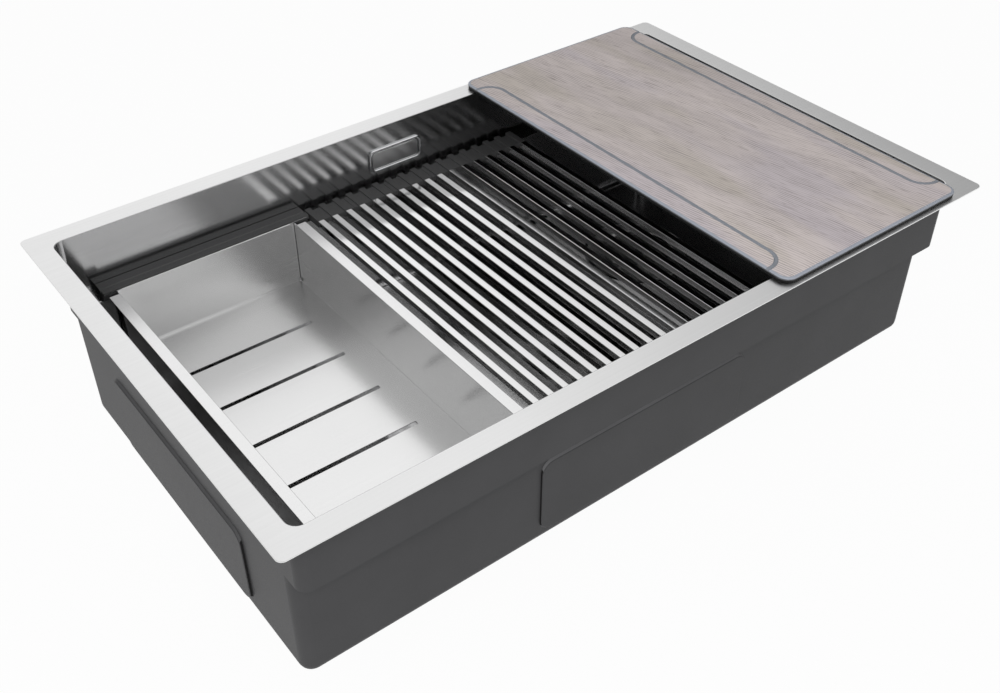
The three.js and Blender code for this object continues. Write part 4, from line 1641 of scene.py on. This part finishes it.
@dataclass
class Rack:
    """Roll-up rack of square tubes with silicone ends, in groups that fold on each other."""

    palette: Palette
    left: float = -113.1
    pitch: float = 16.55
    width: float = 7.0
    height: float = 6.3
    wall: float = 0.8
    corner: float = 0.7
    inner_corner: float = 0.4
    top: float = below(60.3)
    foot: float = below(FOOT_DEPTH)
    bar_reach: float = 184.2
    cap_reach: float = 212.3
    plug: float = 12.0
    gap: float = 0.3
    groups: tuple[int, ...] = (3, 3, 3, 3, 3, 2)
    firsts: list[int] = field(init=False)

    def __post_init__(self) -> None:
        """Numbers the first bar of each group."""
        self.firsts = [sum(self.groups[:g]) for g in range(len(self.groups))]

    def body(self, group: int) -> str:
        """Name of the body that a group of bars rides on."""
        return "bowl" if group == len(self.groups) - 1 else f"rack_group_{group + 1}"

    def bars(self, group: int) -> None:
        """Builds one group's tubes: a rounded square ring, drawn out and set in a row.

        Args:
            group: Number of the group, from the left.
        """
        count, first = self.groups[group], self.firsts[group]
        rule = Recipe("tube row")
        size = {name: rule.size(name, NodeSize.LENGTH, value * MM) for name, value in (
            ("Width", self.width), ("Height", self.height),
            ("Inner width", self.width - 2 * self.wall),
            ("Inner height", self.height - 2 * self.wall), ("Corner", self.corner),
            ("Inner corner", self.inner_corner),
            ("Length", 2 * self.bar_reach))}
        number = rule.size("Count", NodeSize.COUNT, count)
        start = (self.left + first * self.pitch + self.width / 2, self.bar_reach,
                 self.top - self.height / 2)
        begin = rule.size("First tube", NodeSize.PLACE, metres(*start))
        step = rule.size("Pitch", NodeSize.PLACE, (self.pitch * MM, 0, 0))
        outlines = []
        for wide, high, corner in (("Width", "Height", "Corner"),
                                   ("Inner width", "Inner height", "Inner corner")):
            square = rule.node("CurvePrimitiveQuadrilateral",
                               {"Width": size[wide], "Height": size[high]})
            outlines.append(rule.node("FilletCurve", {"Curve": square.outputs[0], "Count": 4,
                                                      "Radius": size[corner]},
                                      mode="POLY").outputs[0])
        both = rule.node("JoinGeometry", {"Geometry": outlines})
        ring = rule.node("FillCurve", {"Curve": both.outputs[0]})
        drawn = rule.node("ExtrudeMesh", {"Mesh": ring.outputs[0], "Offset": (0, 0, 1),
                                          "Offset Scale": size["Length"], "Individual": False})
        flipped = rule.node("FlipFaces", {"Mesh": ring.outputs[0]})
        closed = rule.node("JoinGeometry", {"Geometry": [drawn.outputs[0], flipped.outputs[0]]})
        merged = rule.node("MergeByDistance",
                           {"Geometry": closed.outputs[0], "Distance": 0.01 * MM})
        laid = rule.node("Transform",
                         {"Geometry": merged.outputs[0], "Rotation": (math.pi / 2, 0, 0)})
        points = rule.node("MeshLine", {"Count": number, "Start Location": begin, "Offset": step})
        row = rule.node("InstanceOnPoints",
                        {"Points": points.outputs[0], "Instance": laid.outputs[0]})
        made = rule.make(f"rack_bars_{group + 1}", row.outputs[0], self.palette.bars)
        nodes = [f"rack_bar_{i + 1:02d}" for i in range(first, first + count)]
        dress(made, [], self.body(group), nodes)

    def cap(self) -> bpy.types.Object:
        """Builds one end cap with the plug that sits in its tube.

        Returns:
            The cap of a bar whose left side is at x = 0.
        """
        near = self.bar_reach + self.gap
        part = Sheet()
        part.block((0, near, self.foot), (self.width, self.cap_reach, self.top))
        made = soften(part.make("cap"), 0.45)
        plug = Sheet()
        margin = self.wall + self.gap
        plug.block((margin, near - self.plug, self.top - self.height + margin),
                   (self.width - margin, near + 1, self.top - margin))
        return carve(made, plug.make("plug"), Carving.ADD)

    def web(self, x0: float, x1: float) -> bpy.types.Object:
        """Builds one web, which is smaller all round than the caps that it joins.

        Args:
            x0: Where it starts, from a bar's left side.
            x1: Where it ends.

        Returns:
            The web.
        """
        part = Sheet()
        near, far = self.bar_reach + 1.8, self.cap_reach - 3.6
        part.block((x0, near, self.foot + 1.5), (x1, far, self.top - 1.3))
        return soften(part.make("web"), 0.3, 2)

    def ends(self, group: int) -> None:
        """Builds the silicone ends of one group at the back and the front.

        Args:
            group: Number of the group, from the left.
        """
        count, first = self.groups[group], self.firsts[group]
        fold = (self.pitch - self.width - self.gap) / 2
        cap, web = self.cap(), self.web(self.width - 1, self.pitch + 1)
        halves = []
        if group > 0:
            halves.append(self.web(-fold, 1))
        if group < len(self.groups) - 1:
            last = (count - 1) * self.pitch + self.width
            halves.append(self.web(last - 1, last + fold))
        rule = Recipe("end row")
        begin = rule.size("First cap", NodeSize.PLACE,
                          ((self.left + first * self.pitch) * MM, 0, 0))
        step = rule.size("Pitch", NodeSize.PLACE, (self.pitch * MM, 0, 0))
        rows = []
        for name, shape, number in (("Cap", cap, count), ("Web", web, count - 1)):
            taken = rule.node("ObjectInfo", {"Object": rule.size(name, NodeSize.SHAPE, shape)})
            points = rule.node("MeshLine",
                               {"Count": rule.size(name + " count", NodeSize.COUNT, number),
                                            "Start Location": begin, "Offset": step})
            row = rule.node("InstanceOnPoints", {"Points": points.outputs[0],
                                                 "Instance": taken.outputs["Geometry"]})
            rows.append(rule.node("RealizeInstances", {"Geometry": row.outputs[0]}).outputs[0])
        for number, shape in enumerate(halves):
            taken = rule.node("ObjectInfo",
                              {"Object": rule.size(f"Half web {number + 1}", NodeSize.SHAPE,
                                                   shape)})
            rows.append(rule.node("Transform", {"Geometry": taken.outputs["Geometry"],
                                                "Translation": begin}).outputs[0])
        whole = rule.node("MeshBoolean", {"Mesh 2": rows}, operation="UNION", solver="EXACT")
        back = rule.make(f"rack_ends_back_{group + 1}", whole.outputs[0], self.palette.silicone)
        for helper in (cap, web, *halves):
            bpy.data.objects.remove(helper)
        front = back.copy()
        front.data = back.data.copy()
        front.name = f"rack_ends_front_{group + 1}"
        bpy.context.scene.collection.objects.link(front)
        front.data.transform(Matrix.Scale(-1, 4, Vector((0, 1, 0))))
        front.data.flip_normals()
        shade(front)
        weigh_normals(front)
        for made, name in ((back, "back"), (front, "front")):
            dress(made, [], self.body(group), [f"rack_end_{name}_{group + 1}"])

    def build(self) -> None:
        """Builds every group."""
        for group in range(len(self.groups)):
            self.bars(group)
            self.ends(group)


@dataclass
class Board:
    """Cutting board: a grooved panel with a softened edge on a silicone base."""

    palette: Palette
    low: Pair = (113.0, -235.5)
    high: Pair = (357.0, 237.5)
    corner: float = 12.0
    base_bottom: float = SHEET + 0.2
    base_height: float = 2.6
    panel_bottom: float = SHEET + 2.9
    top: float = below(-5.5)
    bevel: Pair = (2.8, 1.1)
    inset: float = 23.0
    turn: float = 19.0
    reach: float = 213.0
    overrun: float = 6.0
    groove_size: Pair = (2.3, 1.0)

    @property
    def centre(self) -> Pair:
        """Middle of the board."""
        return (self.low[0] + self.high[0]) / 2, (self.low[1] + self.high[1]) / 2

    @property
    def half(self) -> Pair:
        """Half its width and half its depth."""
        return (self.high[0] - self.low[0]) / 2, (self.high[1] - self.low[1]) / 2

    def ring(self, sheet: Sheet, inset: float, z: float) -> list:
        """Adds the board's outline at one height.

        Args:
            sheet: Faces so far.
            inset: How far the outline is drawn in.
            z: Its height.

        Returns:
            Its vertices.
        """
        half = (self.half[0] - inset, self.half[1] - inset)
        outline = rounded_rectangle(half, max(self.corner - inset, 1), 12)
        return sheet.loop((self.centre[0] + x, self.centre[1] + y, z) for x, y in outline)

    def groove(self, side: int) -> bpy.types.Object:
        """Builds the tool that cuts one groove.

        Args:
            side: 1 for the groove by the right edge, -1 for the left.

        Returns:
            A round bar along the groove.
        """
        line = side * (self.half[0] - self.inset)
        straight = self.reach - self.turn
        bend = [(line + side * self.turn * (1 - math.cos(a)), straight + self.turn * math.sin(a))
                for a in (math.radians(90 * i / 12) for i in range(13))]
        way = [(side * (self.half[0] + self.overrun), self.reach)] + bend[::-1]
        way += [(x, -y) for x, y in way[::-1]]
        radius, lift = self.groove_size
        tool = Sheet()
        tool.tube([(self.centre[0] + x, self.centre[1] + y, self.top + lift) for x, y in way],
                  radius, 32)
        made = tool.make("groove")
        # The groove takes a darker copy of the grey core: painted shade.
        made.data.materials.append(self.palette.board_groove_painted_shade)
        return made

    def panel(self) -> None:
        """Builds the panel with its two grooves."""
        sheet = Sheet()
        bottom, top, (wide, high) = self.panel_bottom, self.top, self.bevel
        section = [(0.3, bottom), (0.0, bottom + 0.3), (0.0, top - high)]
        section += [(wide * (1 - math.cos(a)), top - high * (1 - math.sin(a)))
                    for a in (math.radians(90 * i / 6) for i in range(1, 7))]
        rings = [self.ring(sheet, inset, z) for inset, z in section]
        for number, (a, b) in enumerate(zip(rings, rings[1:])):
            sheet.slot = BoardFace.EDGE if number < 2 else BoardFace.BEVEL
            sheet.bridge(a, b)
        sheet.slot = BoardFace.EDGE
        sheet.face(rings[0])
        sheet.slot = BoardFace.TOP
        sheet.face(rings[-1])
        made = sheet.make("board_panel_fine")
        for part in made.data.polygons:
            if part.normal.x > 0.25 and abs(part.center.y) < self.reach * MM:
                part.material_index = BoardFace.SHADED
        # The upright side takes a darker copy of the grey core: painted shade.
        for finish in (self.palette.oak, self.palette.board_edge_painted_shade, self.palette.board_bevel,
                       self.palette.board_base):
            made.data.materials.append(finish)
        for side in (-1, 1):
            carve(made, self.groove(side))
        shade(made, 30)
        dress(weigh_normals(made), [], "board", ["board_panel"])

    def base(self) -> None:
        """Builds the silicone base."""
        sheet = Sheet()
        low, high = self.base_bottom, self.base_bottom + self.base_height
        section = ((0.7, low), (0.4, low + 0.15), (0.3, low + 0.5), (0.3, high - 0.2), (0.45, high))
        rings = [self.ring(sheet, inset, z) for inset, z in section]
        for a, b in zip(rings, rings[1:]):
            sheet.bridge(a, b)
        sheet.face(rings[0])
        sheet.face(rings[-1])
        made = weigh_normals(sheet.make("board_base_fine"))
        dress(made, [self.palette.board_base], "board", ["board_base"])

    def build(self) -> None:
        """Builds the whole sub-assembly."""
        self.panel()
        self.base()


@dataclass
class Hidden:
    """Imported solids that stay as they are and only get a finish."""

    palette: Palette

    def build(self, nodes: dict[str, bpy.types.Object]) -> None:
        """Gives each carried-over node its finish.

        Args:
            nodes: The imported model's objects by name.
        """
        finishes = {
            "overflow_gasket": self.palette.rubber,
            "strainer_seal": self.palette.rubber,
            "strainer_gasket": self.palette.rubber,
            "basket_seal": self.palette.rubber,
            "strainer_friction_ring": self.palette.card,
        }
        for name, finish in finishes.items():
            for slot in nodes[name].material_slots:
                slot.material = finish
            LOG.info("%s keeps its solid", name)


# --------------------------------------------------------------------------- studio


@dataclass(frozen=True)
class Lamp:
    """A soft rectangular lamp, with places in metres and its power in watts."""

    name: str
    place: Point
    aim: Point
    size: Pair
    power: float

    def build(self) -> None:
        """Hangs the lamp, which reflections do not show."""
        data = bpy.data.lights.new(self.name, "AREA")
        data.shape = "RECTANGLE"
        data.size, data.size_y = self.size
        data.energy = self.power
        made = bpy.data.objects.new(self.name, data)
        bpy.context.scene.collection.objects.link(made)
        made.location = self.place
        made.visible_glossy = False
        ahead = Vector(self.aim) - Vector(self.place)
        made.rotation_euler = ahead.to_track_quat("-Z", "Y").to_euler()


@dataclass
class Studio:
    """Camera, lamps, floor and background."""

    lens: float = 42.695
    sensor: float = 36.0
    eye: Point = (-589.6865, -739.5119, 613.8992)
    azimuth: float = 0.65678
    elevation: float = 0.68705
    floor: float = -281.0
    floor_half: float = 6000.0
    floor_white: float = 0.96
    bright_side: Point = (0.933, 0.36, 0)
    bright_range: Pair = (-0.66, 0.47)
    dim: float = 0.18
    fall_range: Pair = (0.45, 0.8)
    far: float = 0.33
    soft: float = 0.7
    lamps: tuple[Lamp, ...] = (
        Lamp("key", (-1.6, -1.2, 2.4), (0, 0, -0.05), (1.6, 1.6), 11),
        Lamp("near", (-0.95, -1.2, 0.95), (-0.3, -0.2, -0.05), (0.9, 0.9), 21),
    )

    def camera(self) -> None:
        """Sets the camera where the photograph was taken from."""
        data = bpy.data.cameras.new("camera")
        data.lens = self.lens
        data.sensor_width = self.sensor
        data.clip_start = 0.01
        made = bpy.data.objects.new("camera", data)
        bpy.context.scene.collection.objects.link(made)
        a, e = self.azimuth, self.elevation
        ahead = Vector((math.cos(e) * math.sin(a), math.cos(e) * math.cos(a), -math.sin(e)))
        right = Vector((math.cos(a), -math.sin(a), 0))
        up = right.cross(ahead)
        turn = Matrix((right, up, -ahead)).transposed().to_4x4()
        made.matrix_world = Matrix.Translation(Vector(self.eye) * MM) @ turn
        bpy.context.scene.camera = made

    def world(self) -> None:
        """Lights the scene softly from a room that is bright behind the part and dim before it.

        The camera sees an even pale grey there instead. Reflections see the room at its full
        level, and everything else gets the softer level.
        """
        made = bpy.data.worlds.new("studio")
        bpy.context.scene.world = made
        made.use_nodes = True
        made.cycles.sampling_method = "NONE"
        work = Nodes(made.node_tree, "ShaderNode")
        place = work.node("TexCoord").outputs["Generated"]
        ahead = work.node("VectorMath", {0: place, 1: self.bright_side}, operation="DOT_PRODUCT")
        graded = work.node("MapRange", {
            "Value": ahead.outputs["Value"], "From Min": self.bright_range[0],
            "From Max": self.bright_range[1], "To Min": self.dim, "To Max": 1.0})
        right = work.node("SeparateXYZ", {0: place})
        fall = work.node("MapRange", {
            "Value": right.outputs["X"], "From Min": self.fall_range[0],
            "From Max": self.fall_range[1], "To Min": 1.0, "To Max": self.far})
        room_level = work.node("Math", {0: graded.outputs[0], 1: fall.outputs[0]},
                               operation="MULTIPLY")
        ray = work.node("LightPath").outputs
        level = work.node("Mix", {0: ray["Is Glossy Ray"], 2: self.soft, 3: 1.0})
        strength = work.node("Math", {0: room_level.outputs[0], 1: level.outputs[0]},
                             operation="MULTIPLY")
        room = work.tree.nodes["Background"]
        room.inputs["Color"].default_value = (1, 1, 1, 1)
        work.give(room.inputs["Strength"], strength.outputs[0])
        seen = work.node("Math", {0: ray["Is Camera Ray"], 1: ray["Is Transmission Ray"]},
                         operation="MAXIMUM")
        pale = work.node("Background", {"Strength": 1.0})
        mix = work.node("MixShader", {0: seen.outputs[0], 1: room.outputs[0], 2: pale.outputs[0]})
        work.give(work.tree.nodes["World Output"].inputs["Surface"], mix.outputs[0])

    def ground(self) -> None:
        """Lays a pale floor under the part, white to the camera and to reflections."""
        sheet = Sheet()
        corners = ((-1, -1), (1, -1), (1, 1), (-1, 1))
        sheet.face(sheet.loop((x * self.floor_half, y * self.floor_half, self.floor)
                              for x, y in corners))
        made = sheet.make("studio_floor", solid=False)
        work = Shading("studio floor")
        work.feed("Base Color", (0.72, 0.72, 0.72, 1))
        work.feed("Roughness", 0.9)
        ray = work.node("LightPath").outputs
        clear = work.node("Math", {0: ray["Is Camera Ray"], 1: ray["Is Transmission Ray"]},
                          operation="MAXIMUM")
        seen = work.node("Math", {0: clear.outputs[0], 1: ray["Is Glossy Ray"]},
                         operation="MAXIMUM")
        glow = work.node("Emission", {"Color": (1, 1, 1, 1), "Strength": 1.0})
        share = work.node("Math", {0: seen.outputs[0], 1: self.floor_white}, operation="MULTIPLY")
        mix = work.node("MixShader", {0: share.outputs[0], 1: work.surface.outputs[0],
                                      2: glow.outputs[0]})
        work.give(work.tree.nodes["Material Output"].inputs["Surface"], mix.outputs[0])
        made.data.materials.append(work.material)

    def build(self) -> None:
        """Sets up the whole studio."""
        bpy.context.scene.view_settings.view_transform = "Standard"
        self.camera()
        self.world()
        self.ground()
        for lamp in self.lamps:
            lamp.build()


def main() -> None:
    """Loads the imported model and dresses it."""
    logging.basicConfig(level=logging.INFO, format="%(name)s: %(message)s")
    for unused in list(bpy.data.objects):
        bpy.data.objects.remove(unused)
    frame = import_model()
    Studio().build()
    palette = Palette()
    Bowl(palette).build()
    Overflow(palette).build()
    Strainer(palette).build()
    Colander(palette).build()
    Rack(palette).build()
    Board(palette).build()
    Hidden(palette).build(frame["nodes"])


if __name__ == "__main__":
    main()
